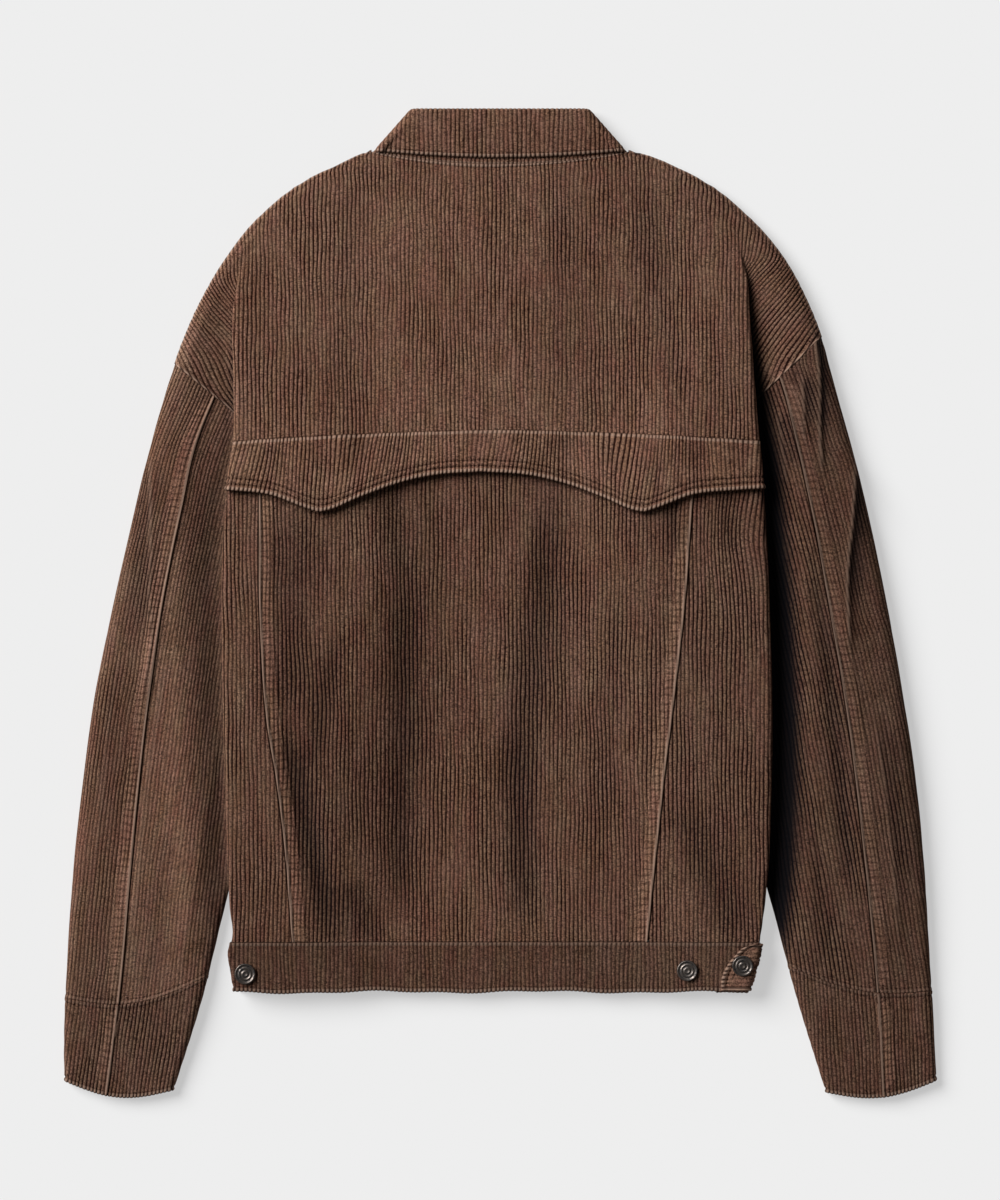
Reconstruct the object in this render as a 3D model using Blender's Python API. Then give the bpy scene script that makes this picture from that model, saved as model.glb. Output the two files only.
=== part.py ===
"""Corduroy trucker jacket, laid flat on its front with its back up.

The collar points to +Y and +Z is up. Every sewn piece is a wall of cloth with its own object. The body is
flattened like a gusseted bag: each side folds over at a fold edge, turns in between back and front to the
side seam, and the sleeves lie between the two turned-in layers. Sizes are in millimetres until a point is placed.
"""

import functools
import math

import bmesh
import bpy
import numpy as np

MM = 0.001
LEFT, RIGHT = -1, 1
SIDES = {LEFT: "left", RIGHT: "right"}

# Thickness of the walls, and the gap that is left between pieces where they are sewn together.
CLOTH = 1.6
BAND_CLOTH = 2.6
COLLAR_CLOTH = 2.0
TAB_CLOTH = 1.8
CUFF_CLOTH = 2.0
SEAM_GAP = 0.3

# Tables of widths: height along the back, then the distance from the centre line to the left and right.
# Outer edge of the shoulders, sleeves and cuffs.
OUTER_EDGE = (
    (-382.0, 345.6, 344.0),
    (-366.0, 347.6, 347.6),
    (-334.0, 347.0, 345.2),
    (-270.0, 344.0, 341.6),
    (-206.0, 339.2, 337.6),
    (-142.0, 332.0, 331.2),
    (-78.0, 323.2, 321.6),
    (-14.0, 310.4, 310.4),
    (50.0, 296.0, 297.6),
    (114.0, 280.8, 282.4),
    (178.0, 262.4, 264.8),
    (210.0, 251.2, 256.0),
    (242.0, 236.8, 243.2),
    (274.0, 217.6, 225.6),
    (306.0, 192.0, 198.4),
    (338.0, 150.4, 156.8),
    (354.0, 116.8, 122.4),
    (360.0, 103.0, 103.0),
)
# Edge over which each side of the back folds.
BACK_FOLD_EDGE = (
    (-313.0, 211.0, 196.0),
    (-290.0, 216.0, 202.0),
    (-270.0, 213.0, 206.5),
    (-240.0, 215.0, 210.5),
    (-120.0, 219.0, 216.0),
    (0.0, 221.0, 214.0),
    (90.0, 217.5, 209.5),
    (130.0, 212.0, 206.0),
    (190.0, 212.0, 201.0),
    (235.0, 212.0, 198.0),
    (262.0, 206.0, 196.0),
    (306.0, 166.0, 172.0),
    (338.0, 122.0, 128.0),
    (360.0, 76.0, 76.0),
)
# How far the cloth turns in behind that edge, down to the side seam. It is less than nothing above the fold.
FOLD_DEPTH = (
    (-313.0, 60.0, 24.0),
    (-270.0, 64.0, 28.0),
    (-120.0, 92.0, 74.0),
    (0.0, 106.0, 95.0),
    (60.0, 109.0, 97.0),
    (100.0, 93.0, 86.0),
    (150.0, 43.0, 48.0),
    (200.0, 23.0, 30.0),
    (256.0, 0.0, 7.0),
    (274.0, -5.0, 0.0),
    (300.0, -8.0, -7.0),
    (360.0, -8.0, -8.0),
)
# Share of the full step from the back down to the dropped shoulder beside the fold.
FOLD_SHARE = (
    (180.0, 1.0, 1.0),
    (215.0, 0.86, 0.92),
    (245.0, 0.5, 0.68),
    (268.0, 0.2, 0.38),
    (290.0, 0.03, 0.12),
    (310.0, 0.0, 0.0),
)
# Height of the back's cloth over the table at its fold edge, and over the middle of the back.
EDGE_HEIGHT = (
    (-313.0, 17.0, 17.0),
    (-270.0, 17.6, 17.8),
    (-220.0, 20.0, 20.5),
    (-120.0, 22.0, 23.0),
    (60.0, 24.0, 24.5),
    (140.0, 23.5, 24.5),
    (200.0, 20.0, 22.0),
    (256.0, 15.0, 17.0),
    (300.0, 12.3, 12.5),
    (360.0, 11.0, 11.0),
)
MIDDLE_HEIGHT = (
    (-313.0, 11.4, 11.4),
    (-250.0, 11.6, 11.6),
    (100.0, 12.0, 12.0),
    (250.0, 11.6, 11.6),
    (340.0, 11.0, 11.0),
)
# Height of a sleeve's upper side along its middle.
SLEEVE_CROWN = (
    (-395.0, 8.5, 8.5),
    (-320.0, 12.0, 12.0),
    (-200.0, 16.0, 16.0),
    (0.0, 17.5, 17.5),
    (150.0, 16.0, 16.0),
    (220.0, 14.0, 14.0),
    (300.0, 12.0, 12.0),
)
# Inner edge of the sleeves, from the armpit to the cuff's end.
SLEEVE_INNER = (
    (-392.0, 262.4, 261.5),
    (-318.0, 239.2, 238.6),
    (-238.0, 219.2, 216.8),
    (-78.0, 172.8, 172.0),
    (34.0, 142.0, 141.0),
    (98.0, 124.0, 124.0),
)
# Seam down the back of each sleeve.
SLEEVE_SEAM = (
    (-394.0, 313.6, 305.2),
    (-324.0, 304.0, 301.4),
    (-206.8, 292.8, 290.4),
    (-78.0, 279.2, 274.6),
    (0.0, 268.0, 261.6),
    (78.0, 252.8, 247.0),
    (120.0, 244.0, 238.0),
    (166.0, 226.8, 227.2),
    (190.0, 217.0, 220.0),
)
# Seam between the centre back and each side back.
SIDE_BACK_SEAM = (
    (-270.0, 166.0, 118.0),
    (-215.0, 171.5, 124.0),
    (-145.0, 180.0, 132.0),
    (-84.0, 188.5, 139.2),
    (0.0, 193.0, 148.8),
    (84.0, 193.0, 155.2),
    (140.0, 193.0, 157.0),
)
# Creases of the back: top end, bottom end, half width and depth. A negative depth is a ridge.
CREASES = (
    (-84.0, -70.0, -81.0, -255.0, 16.0, 2.2),
    (17.0, 85.0, 17.0, -150.0, 18.0, 1.8),
    (-166.0, -120.0, -139.0, -262.0, 9.0, 2.4),
    (-182.0, -150.0, -158.0, -262.0, 10.0, -1.6),
    (-128.0, -30.0, -147.0, -130.0, 10.0, 1.4),
    (95.0, 0.0, 84.0, -170.0, 12.0, 1.6),
    (118.0, 330.0, 142.0, 160.0, 14.0, 1.2),
    (-117.0, 330.0, -118.0, 170.0, 16.0, 1.0),
    (54.0, 330.0, 54.0, 180.0, 18.0, 0.9),
)

# Seams across the back.
WAIST_SEAM = -270.5
HEM = -310.0
YOKE_SEAM_TOP, YOKE_SEAM_DROP, YOKE_SEAM_SPAN = 137.8, 9.4, 212.0
NECK_LOW, NECK_RISE, NECK_HALF = 350.0, 9.6, 101.0
# Lower edge of the flap: distance from its middle, and height. Its two points hang lowest.
FLAP_MIDDLE = -15.0
FLAP_EDGE = (
    (0.0, 104.4),
    (40.0, 101.2),
    (71.0, 93.6),
    (98.0, 83.6),
    (124.0, 73.2),
    (130.0, 72.2),
    (138.0, 74.4),
    (168.0, 85.4),
    (205.0, 89.5),
    (300.0, 90.0),
)
FLAP_TURN_IN, PANEL_SINK_END = 30.0, 50.0
PANEL_SINK, PANEL_SINK_FROM, PANEL_SINK_FULL = 2.8, 12.0, 62.0

# Levels of the layers between back and front, as middles of the walls.
FRONT_LEVEL = CLOTH / 2
SLEEVE_LOW_LEVEL, SLEEVE_HIGH_LEVEL = 6.2, 10.2
SLEEVE_BESIDE_BODY = 7.0
FRONT_FOLD_INSET = 3.0
ROLL_SHARE, POCKET_SHARE = 0.28, 0.2
RISE_WIDTH = 84.0
ARMPIT_HEIGHT = {LEFT: 98.0, RIGHT: 105.0}
SEAM_CLOSING, SEAM_HALF_GAP = 18.0, 0.95
SEAM_CLOSING_TOP, SEAM_CLOSING_LOW, SEAM_CLOSING_RAMP = 22.0, -264.0, 40.0
EDGE_DROP, EDGE_HALF_GAP = 1.4, 0.7

# Armhole seam from the armpit to the tip on the outer edge, sagging a little below a straight line.
ARMPIT_OUT = 124.0
TIP_HEIGHT = {LEFT: 189.2, RIGHT: 210.8}
ARMHOLE_SAG = {LEFT: 7.0, RIGHT: 9.0}
# Cuff seam and cuff end: heights at the inner and the outer edge, and the sag between them.
CUFF_SEAM = {LEFT: (-298.0, -315.6, 12.5), RIGHT: (-290.0, -310.0, 9.5)}
CUFF_END = {LEFT: (-389.2, -382.0, 9.2), RIGHT: (-391.0, -381.5, 8.6)}
SLEEVE_HIDDEN_SEAM = 0.5
ARMHOLE_GAP = 1.3

# Fronts: they lap over each other on the centre line, on the caps of their buttons.
LAP = 14.0
LAP_STEP = 2.1
BUTTON_LIFT, LIFT_FROM, LIFT_TO = 2.7, 20.0, 46.0
COLLAR_LIFT = 3.8
NECK_FRONT = 275.0
FRONT_BUTTONS = (245.0, 140.0, 35.0, -70.0, -175.0, -290.0)

# Collar: the roll line along the top, the free edge over the neck seam, and the leaves in front.
ROLL_HEIGHT, ROLL_HALF = 394.4, 72.0
FREE_HEIGHT, FREE_HALF = 359.8, 101.5
ROLL_FRONT, LEAF_POINT = (6.0, 306.0), (58.0, 240.0)
COLLAR_MIDDLE, STAND_RADIUS, FALL_RADIUS = 7.8, 3.2, 6.7

# Waistband with its two tabs, and the tack buttons.
TAB_TIP = (
    (-309.6, 176.4),
    (-301.0, 176.4),
    (-289.0, 181.2),
    (-280.4, 188.0),
    (-274.0, 196.0),
    (-271.6, 203.0),
)
TAB_ROOT, TAB_LENGTH = 2.0, 50.0
WAIST_BUTTONS = (
    ("waist_button_1", LEFT, 203.2, -295.6),
    ("waist_button_2", RIGHT, 149.6, -293.2),
)
TAB_BUTTON_HEIGHT = -289.0
TAB_BUTTON_FROM_TIP = 12.0
BUTTON_RADIUS, BUTTON_HEIGHT, BUTTON_SIDES = 8.3, 2.4, 12

CORDUROY = ("corduroy", (0.115, 0.062, 0.04), 0.9, 0.0)
BRASS = ("dark_brass", (0.16, 0.13, 0.11), 0.42, 0.9)


def smooth_step(value):
    value = np.clip(value, 0.0, 1.0)
    return value * value * (3.0 - 2.0 * value)


def mix(first, second, share):
    return first + (second - first) * share


def curve_through(stations, values):
    """A smooth curve through the values, level beyond both ends."""
    stations = np.asarray(stations, float)
    values = np.asarray(values, float)
    slopes = np.gradient(values, stations)

    def at(place):
        place = np.clip(place, stations[0], stations[-1])
        i = np.clip(np.searchsorted(stations, place) - 1, 0, len(stations) - 2)
        span = stations[i + 1] - stations[i]
        u = (place - stations[i]) / span
        start = (1 + 2 * u) * (1 - u) ** 2 * values[i] + u * (1 - u) ** 2 * span * slopes[i]
        end = u * u * (3 - 2 * u) * values[i + 1] - u * u * (1 - u) * span * slopes[i + 1]
        return start + end

    return at


def two_sided(table):
    """One curve of width against height for each side of the jacket."""
    heights, left, right = zip(*table)
    return {LEFT: curve_through(heights, left), RIGHT: curve_through(heights, right)}


OUTER = two_sided(OUTER_EDGE)
BACK_EDGE = two_sided(BACK_FOLD_EDGE)
DEPTH = two_sided(FOLD_DEPTH)
SHARE = two_sided(FOLD_SHARE)
EDGE_TOP = two_sided(EDGE_HEIGHT)
MIDDLE_TOP = two_sided(MIDDLE_HEIGHT)
CROWN = two_sided(SLEEVE_CROWN)
INNER = two_sided(SLEEVE_INNER)
BACK_SEAM = two_sided(SLEEVE_SEAM)
SIDE_BACK = two_sided(SIDE_BACK_SEAM)
FLAP_LOW = curve_through(*zip(*FLAP_EDGE))
TAB_TIP_AT = curve_through(*zip(*TAB_TIP))


def crease_depth(x, y):
    """Sum of the creases at a point of the back."""
    depth = 0.0
    for top_x, top_y, low_x, low_y, half_width, most in CREASES:
        along = (top_y - y) / (top_y - low_y)
        middle = mix(top_x, low_x, np.clip(along, 0.0, 1.0))
        fade = smooth_step(along / 0.3 + 0.5) * smooth_step((1.0 - along) / 0.3 + 0.5)
        depth = depth + most * fade * np.exp(-(((x - middle) / half_width) ** 2))
    return depth


def back_height(side, out, y):
    """Middle of the back's wall, over its middle and up to its fold edge."""
    full = BACK_EDGE[side](y) - np.maximum(DEPTH[side](y), 0.0) + 4.0
    rise = smooth_step(1.0 - (full - out) / RISE_WIDTH)
    return mix(MIDDLE_TOP[side](y), EDGE_TOP[side](y), rise) - crease_depth(side * out, y)


def front_height(side, out, y, under=False):
    """Middle of the front's wall: on the table, but for its lap, its buttons and the collar below it."""
    centre = smooth_step((LIFT_TO - abs(out)) / (LIFT_TO - LIFT_FROM))
    buttons = BUTTON_LIFT * centre
    collar = COLLAR_LIFT * smooth_step((y - 205.0) / 26.0) * smooth_step((134.0 - out) / 26.0)
    lap = (LAP_STEP if y > WAIST_SEAM - SEAM_GAP / 2.0 else LAP_STEP + 1.0) * centre if under else 0.0
    return FRONT_LEVEL + np.maximum(buttons, collar) + lap


def sleeve_high(side, out, y):
    """Middle of the upper wall of a sleeve: pressed under the body, low beside it, crowned further out."""
    beyond = out - BACK_EDGE[side](y)
    free = mix(SLEEVE_BESIDE_BODY, CROWN[side](y), smooth_step((beyond - 3.0) / 36.0))
    return mix(SLEEVE_HIGH_LEVEL, free, smooth_step((beyond + 6.0) / 12.0))


def sleeve_low(side, out, y):
    """Middle of the lower wall of a sleeve: on the front's turned-in layer, then on the table."""
    beyond = out - BACK_EDGE[side](y)
    return mix(SLEEVE_LOW_LEVEL, FRONT_LEVEL, smooth_step((beyond + 5.0) / 13.0))


def edge_roundness(side, y):
    """How steeply the outer edge runs: 1 where it is upright, less over the shoulder."""
    slope = (OUTER[side](y + 1.0) - OUTER[side](y - 1.0)) / 2.0
    return 1.0 / math.sqrt(1.0 + slope * slope)


def armhole_line(side, share):
    """Point of the armhole seam, from the armpit (0) to the tip on the outer edge (1)."""
    tip = TIP_HEIGHT[side]
    out = mix(ARMPIT_OUT, OUTER[side](tip), share)
    y = mix(ARMPIT_HEIGHT[side], tip, share) - ARMHOLE_SAG[side] * math.sin(math.pi * share)
    return out, y


def armhole_out(side, y):
    points = np.array([armhole_line(side, share) for share in np.linspace(0.0, 1.0, 41)])
    rising = np.maximum.accumulate(points[:, 1])
    return float(np.interp(y, rising, points[:, 0]))


def arc_points(centre, radius, start, end, count):
    angles = np.linspace(start, end, count)
    return np.stack([centre[0] + radius * np.cos(angles), centre[1] + radius * np.sin(angles)], 1)


@functools.lru_cache(maxsize=None)
def body_section(side, y, is_back, under=False):
    """Cross-section of the back or the front at one height: points (out, up) from the centre line to the
    outer edge, their normals, the length at each, and the lengths of the six stretches: main, fold, turned
    in, pocket, arm, rim.
    """
    up = 1.0 if is_back else -1.0
    edge = BACK_EDGE[side](y) - (0.0 if is_back else FRONT_FOLD_INSET)
    depth = DEPTH[side](y) - (0.0 if is_back else FRONT_FOLD_INSET)
    share = SHARE[side](y)

    def main(out):
        return back_height(side, out, y) if is_back else front_height(side, out, y, under)

    def arm(out):
        level = sleeve_high(side, out, y) if is_back else sleeve_low(side, out, y)
        return mix(main(out), level, share)

    top = main(edge)
    step = up * (top - arm(edge - depth))
    step = max(step, 0.02)
    roll, pocket = ROLL_SHARE * step, POCKET_SHARE * step
    start = -2.0 * LAP
    main_out = np.linspace(start, edge - roll, 40)
    stretches = [np.stack([main_out, up * main(main_out)], 1)]
    centre_1 = np.array([edge - roll, up * top - roll])
    if y < ARMPIT_HEIGHT[side]:
        stretches.append(arc_points(centre_1, roll, math.pi / 2, -math.pi / 2, 9))
        inward = up * top - 2.0 * roll
        front_inward = mix(FRONT_LEVEL, SLEEVE_LOW_LEVEL, 2.0 * ROLL_SHARE)
        back_inward = mix(EDGE_TOP[side](y), SLEEVE_HIGH_LEVEL, 2.0 * ROLL_SHARE)
        closed = up * (back_inward + front_inward) / 2.0 + SEAM_HALF_GAP
        below = (ARMPIT_HEIGHT[side] - SEAM_CLOSING_TOP - y) / SEAM_CLOSING_RAMP
        above = (y - SEAM_CLOSING_LOW) / SEAM_CLOSING_RAMP
        closed = mix(inward, closed, smooth_step(below) * smooth_step(above))
        line_out = np.linspace(edge - roll, edge - depth, 12)
        closing = smooth_step((SEAM_CLOSING - (line_out - line_out[-1])) / SEAM_CLOSING)
        stretches.append(np.stack([line_out, mix(inward, closed, closing)], 1))
        stretches += [stretches[-1][-1:]] * 3
    else:
        centre_2 = np.array([edge - depth + pocket, up * arm(edge - depth) + pocket])
        apart = centre_2 - centre_1
        away = math.hypot(*apart)
        exit_angle = math.atan2(apart[1], apart[0]) + math.acos(min(1.0, (roll + pocket) / away))
        exit_angle = (exit_angle + math.pi) % (2.0 * math.pi) - math.pi
        if exit_angle > math.pi / 2:
            exit_angle -= 2.0 * math.pi
        stretches.append(arc_points(centre_1, roll, math.pi / 2, exit_angle, 9))
        pocket_arc = arc_points(centre_2, pocket, exit_angle + math.pi, 1.5 * math.pi, 9)
        stretches.append(np.linspace(stretches[-1][-1], pocket_arc[0], 6))
        stretches.append(pocket_arc)
        outer = OUTER[side](y)
        at_rim = y >= TIP_HEIGHT[side]
        end = outer if at_rim else armhole_out(side, y)
        other = sleeve_low(side, outer, y) if is_back else sleeve_high(side, outer, y)
        plain = front_height(side, outer, y) if is_back else back_height(side, outer, y)
        half = abs(arm(outer) - mix(plain, other, share)) / 2.0
        middle = up * arm(outer) - half
        reach = 1.15 * half / edge_roundness(side, y)
        arm_start = edge - depth + pocket
        reach = min(reach, 0.7 * (outer - arm_start))
        arm_end = min(end, outer - reach)
        arm_out = np.linspace(arm_start, arm_end, 12)
        stretches.append(np.stack([arm_out, up * arm(arm_out)], 1))
        turn = math.asin(np.clip((end - (outer - reach)) / reach, 0.0, 1.0))
        turns = np.linspace(0.0, turn, 8)
        rim = np.stack([outer - reach + reach * np.sin(turns), middle + half * np.cos(turns)], 1)
        if turn <= 0.0:
            rim = stretches[-1][-1:]
        if at_rim:
            rim[:, 1] = mix(middle + EDGE_DROP, up * arm(outer), np.cos(turns))
            rim = np.vstack([rim, [outer, middle + EDGE_HALF_GAP]])
        stretches.append(rim)
    lengths = []
    points = [stretches[0][:1]]
    last = stretches[0][0]
    for stretch in stretches:
        chain = np.vstack([[last], stretch])
        lengths.append(np.linalg.norm(np.diff(chain, axis=0), axis=1).sum())
        points.append(stretch)
        last = stretch[-1]
    points = np.vstack(points)
    steps = np.linalg.norm(np.diff(points, axis=0), axis=1)
    keep = np.concatenate([[True], steps > 1e-6])
    points = points[keep]
    reached = start + np.concatenate([[0.0], np.cumsum(np.linalg.norm(np.diff(points, axis=0), axis=1))])
    lengths[0] += start
    tangents = np.gradient(points, reached, axis=0)
    tangents /= np.linalg.norm(tangents, axis=1)[:, None]
    normals = np.stack([-tangents[:, 1], tangents[:, 0]], 1)
    points[:, 1] *= up
    normals[:, 1] *= up
    return points, normals, reached, np.array(lengths)


def body_point(side, cloth, y, is_back=True, raised=0.0, under=False):
    """Place of the cloth that lies this far from the centre line, raised off its wall's middle."""
    points, normals, reached, _ = body_section(side, round(float(y), 3), is_back, under)
    out, up = (np.interp(cloth, reached, points[:, i]) for i in (0, 1))
    lean_out, lean_up = (np.interp(cloth, reached, normals[:, i]) for i in (0, 1))
    return side * (out + raised * lean_out), y, up + raised * lean_up


def cloth_at_seam(side, y, is_back=True):
    """Length of cloth from the centre line to the panel's outer seam."""
    return body_section(side, round(float(y), 3), is_back)[2][-1]


def column_places(side, y, counts, start, is_back=True, marks=()):
    """Where the columns of a panel's grid cross one section: each stretch has its own, however short it is.
    Marks are (place, count) pairs of columns before the first stretch's own.
    """
    if marks:
        first, count = marks[0]
        first = max(first, start + 4.0)
        rest = column_places(side, y, counts, first, is_back, marks[1:])
        return np.concatenate([np.linspace(start, first, count + 1)[:-1], rest])
    lengths = body_section(side, round(float(y), 3), is_back)[3].copy()
    lengths[0] -= start
    total = lengths.sum()
    least = np.minimum([0.0, 9.0, 9.0, 7.0, 7.0, 5.0], 0.1 * total)
    spans = np.maximum(lengths, least)
    spans[np.argmax(lengths)] -= spans.sum() - total
    knots = start + np.concatenate([[0.0], np.cumsum(spans)])
    return np.interp(np.arange(sum(counts) + 1), np.concatenate([[0], np.cumsum(counts)]), knots)


def yoke_seam(x):
    return YOKE_SEAM_TOP - YOKE_SEAM_DROP * min(abs(x - 4.0) / YOKE_SEAM_SPAN, 1.0) ** 1.5


def neck_seam(x):
    return NECK_LOW + NECK_RISE * (min(abs(x), NECK_HALF) / NECK_HALF) ** 2.2


def panel_sink(side, cloth, y):
    """The back panels pass under the flap, so they lie lower there, up to the flap's turned-in end."""
    main, fold = body_section(side, round(float(y), 3), True)[3][:2]
    covered = smooth_step((main + fold + PANEL_SINK_END - cloth) / (PANEL_SINK_END - FLAP_TURN_IN))
    return -PANEL_SINK * covered * smooth_step((y - PANEL_SINK_FROM) / (PANEL_SINK_FULL - PANEL_SINK_FROM))


def material(kind):
    name, colour, roughness, metallic = kind
    finish = bpy.data.materials.new(name)
    finish.use_nodes = True
    shader = finish.node_tree.nodes["Principled BSDF"]
    shader.inputs["Base Color"].default_value = (*colour, 1.0)
    shader.inputs["Roughness"].default_value = roughness
    shader.inputs["Metallic"].default_value = metallic
    return finish


def add_object(name, shape, kind):
    mesh = bpy.data.meshes.new(name)
    shape.to_mesh(mesh)
    shape.free()
    mesh.shade_smooth()
    part = bpy.data.objects.new(name, mesh)
    bpy.context.scene.collection.objects.link(part)
    mesh.materials.append(material(kind))
    return part


def wall(name, columns, rows, place, thickness=CLOTH):
    """A piece of cloth: a grid whose points are placed by their shares across and along, then thickened."""
    shape = bmesh.new()
    bmesh.ops.create_grid(shape, x_segments=columns, y_segments=rows, size=0.5)
    for point in shape.verts:
        x, y, z = place(point.co.x + 0.5, point.co.y + 0.5)
        point.co = (x * MM, y * MM, z * MM)
    part = add_object(name, shape, CORDUROY)
    thick = part.modifiers.new("cloth", "SOLIDIFY")
    thick.thickness = thickness * MM
    thick.offset = 0.0
    return part


def row_heights(*stretches):
    """Heights of a panel's rows from (end height, rows in the stretch) pairs after the first height."""
    heights = [stretches[0]]
    for end, count in stretches[1:]:
        heights += list(np.linspace(heights[-1], end, count + 1)[1:])
    return heights


def make_yoke():
    counts = (6, 4, 2, 3, 3, 3)
    half = sum(counts)
    heights = row_heights(136.0, (250.0, 6), (300.0, 3), (356.0, 5))

    def place(u, v):
        column = int(round(u * 2 * half)) - half
        row = v * (len(heights) - 1)
        level = heights[int(round(row))]
        side = LEFT if column < 0 else RIGHT
        cloth = column_places(side, level, counts, 0.0)[abs(column)]
        x = body_point(side, cloth, level)[0]
        low = smooth_step((190.0 - level) / (190.0 - heights[0]))
        high = smooth_step((level - 330.0) / (heights[-1] - 330.0))
        y = level + low * (yoke_seam(x) + SEAM_GAP - heights[0]) + high * (neck_seam(x) - heights[-1])
        if v < 0.5 and abs(cloth) > 0:
            cloth = column_places(side, y, counts, 0.0)[abs(column)]
        spot = body_point(side, cloth, y)
        return spot

    wall("back_yoke", 2 * half, len(heights) - 1, place)


def make_flap():
    def place(u, v):
        columns = 46
        column = u * columns - columns / 2
        side = LEFT if column < 0 else RIGHT
        share = abs(column) / (columns / 2)
        y = YOKE_SEAM_TOP - 20.0
        for _ in range(3):
            main, fold = body_section(side, round(float(y), 3), True)[3][:2]
            knots = [0.0, main, main + fold, main + fold + FLAP_TURN_IN]
            cloth = np.interp(share, [0.0, 16.0 / 23.0, 21.0 / 23.0, 1.0], knots)
            x = side * cloth
            y = mix(FLAP_LOW(abs(x - FLAP_MIDDLE)), yoke_seam(x) - SEAM_GAP, v)
        return body_point(side, cloth, y)

    wall("back_flap", 46, 3, place)


def make_centre_back():
    heights = row_heights(WAIST_SEAM, (62.0, 9), (128.0, 3))

    def place(u, v):
        level = heights[int(round(v * (len(heights) - 1)))]
        left = SIDE_BACK[LEFT](level) - SEAM_GAP / 2
        right = SIDE_BACK[RIGHT](level) - SEAM_GAP / 2
        x = mix(-left, right, u)
        y = level + smooth_step((level - 60.0) / 68.0) * (yoke_seam(x) - 1.0 - 128.0)
        side = LEFT if x < 0 else RIGHT
        return body_point(side, abs(x), y, raised=panel_sink(side, abs(x), y))

    wall("back_center", 20, len(heights) - 1, place)


def make_side_backs():
    counts = (3, 4, 4, 2, 2)

    for side, word in SIDES.items():
        armpit = ARMPIT_HEIGHT[side]
        heights = row_heights(WAIST_SEAM, (62.0, 9), (armpit - 0.5, 2), (armpit, 1), (128.0, 2))

        def place(u, v):
            level = heights[int(round(v * (len(heights) - 1)))]
            start = SIDE_BACK[side](level) + SEAM_GAP / 2
            column = int(round(u * sum(counts)))
            y = level
            cloth = column_places(side, y, counts + (0,), start)[column]
            y = level + smooth_step((level - 60.0) / 68.0) * (yoke_seam(side * cloth) - 1.0 - 128.0)
            cloth = min(cloth, cloth_at_seam(side, y))
            return body_point(side, cloth, y, raised=panel_sink(side, cloth, y))

        wall(f"back_side_{word}", sum(counts), len(heights) - 1, place)


def neck_front_out(y):
    """Distance of the front neckline from the centre line."""
    share = (y - NECK_FRONT) / (FREE_HEIGHT - NECK_FRONT)
    return NECK_HALF * math.sqrt(max(share, 0.0)) if share > 0 else -LAP


def make_fronts():
    counts = (2, 3, 2, 2, 2, 3)
    marks = ((LIFT_FROM, 2), (LIFT_TO, 2))
    columns = sum(counts) + 4
    for side, word in SIDES.items():
        under = side == RIGHT
        armpit = ARMPIT_HEIGHT[side]
        below = (40.0, 4), (armpit - 0.5, 2), (armpit, 1)
        heights = row_heights(WAIST_SEAM, *below, (armpit + 36.0, 3), (270.0, 4), (356.0, 4))

        def place(u, v):
            y = heights[int(round(v * (len(heights) - 1)))]
            start = mix(-LAP, max(neck_front_out(y), -LAP), smooth_step((y - 262.0) / 26.0))
            cloth = column_places(side, y, counts, start, False, marks)[int(round(u * columns))]
            return body_point(side, cloth, y, False, under=under)

        wall(f"front_{word}", columns, len(heights) - 1, place)


def sleeve_row(side, down):
    """One row round a sleeve and its cuff: the armhole at 0, the cuff seam at 1, the cuff's end at 2."""
    armhole = (ARMPIT_HEIGHT[side], TIP_HEIGHT[side], ARMHOLE_SAG[side])
    rows = (armhole, CUFF_SEAM[side], CUFF_END[side])
    first = min(int(down), 1)
    upper, lower = rows[first], rows[first + 1]
    share = down - first
    inner_y, outer_y = (mix(upper[i], lower[i], share) for i in (0, 1))
    sag = mix(upper[2], lower[2], share)
    if first == 0:
        sag = upper[2] * (1 - share) ** 2 + lower[2] * share**2
    return inner_y, outer_y, sag


def sleeve_point(side, down, around, gap=0.0):
    """Point of the sleeve's wall. Round it, 0 to 1 is the upper side from the inner to the outer fold,
    1 to 2 the outer fold, 2 to 3 the lower side back to the inner fold, and 3 to 4 (or -1 to 0) the inner fold.
    """
    inner_y, outer_y, sag = sleeve_row(side, down)
    inner, outer = INNER[side](inner_y), OUTER[side](outer_y)
    around = around % 4.0

    def spot(out, upness):
        share = np.clip((out - inner) / (outer - inner), 0.0, 1.0)
        y = mix(inner_y, outer_y, share) - sag * math.sin(math.pi * share)
        y -= gap * (1.0 + 2.0 * (1.0 - share) ** 6)
        high, low = sleeve_high(side, out, y), sleeve_low(side, out, y)
        return side * out, y, mix(low, high, (upness + 1.0) / 2.0)

    def fold_reach(out, y):
        return 0.575 * (sleeve_high(side, out, y) - sleeve_low(side, out, y))

    out_reach = fold_reach(outer - 6.0, outer_y)
    in_reach = fold_reach(inner + 3.0, inner_y)
    if around <= 1.0:
        return spot(mix(inner + in_reach, outer - out_reach, around), 1.0)
    if around <= 2.0:
        turn = math.pi * (around - 1.0)
        return spot(outer - out_reach + out_reach * math.sin(turn), math.cos(turn))
    if around <= 3.0:
        return spot(mix(outer - out_reach, inner + in_reach, around - 2.0), -1.0)
    turn = math.pi * (around - 3.0)
    return spot(inner + in_reach - in_reach * math.sin(turn), -math.cos(turn))


def seam_around(side, down):
    """Where the back seam of a sleeve crosses a row, as a share of its upper side."""
    around = 0.6
    for _ in range(12):
        x, y, _ = sleeve_point(side, down, around)
        start, end = abs(sleeve_point(side, down, 0.0)[0]), abs(sleeve_point(side, down, 1.0)[0])
        around = np.clip((BACK_SEAM[side](y) - start) / (end - start), 0.05, 0.98)
    return float(around)


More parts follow.
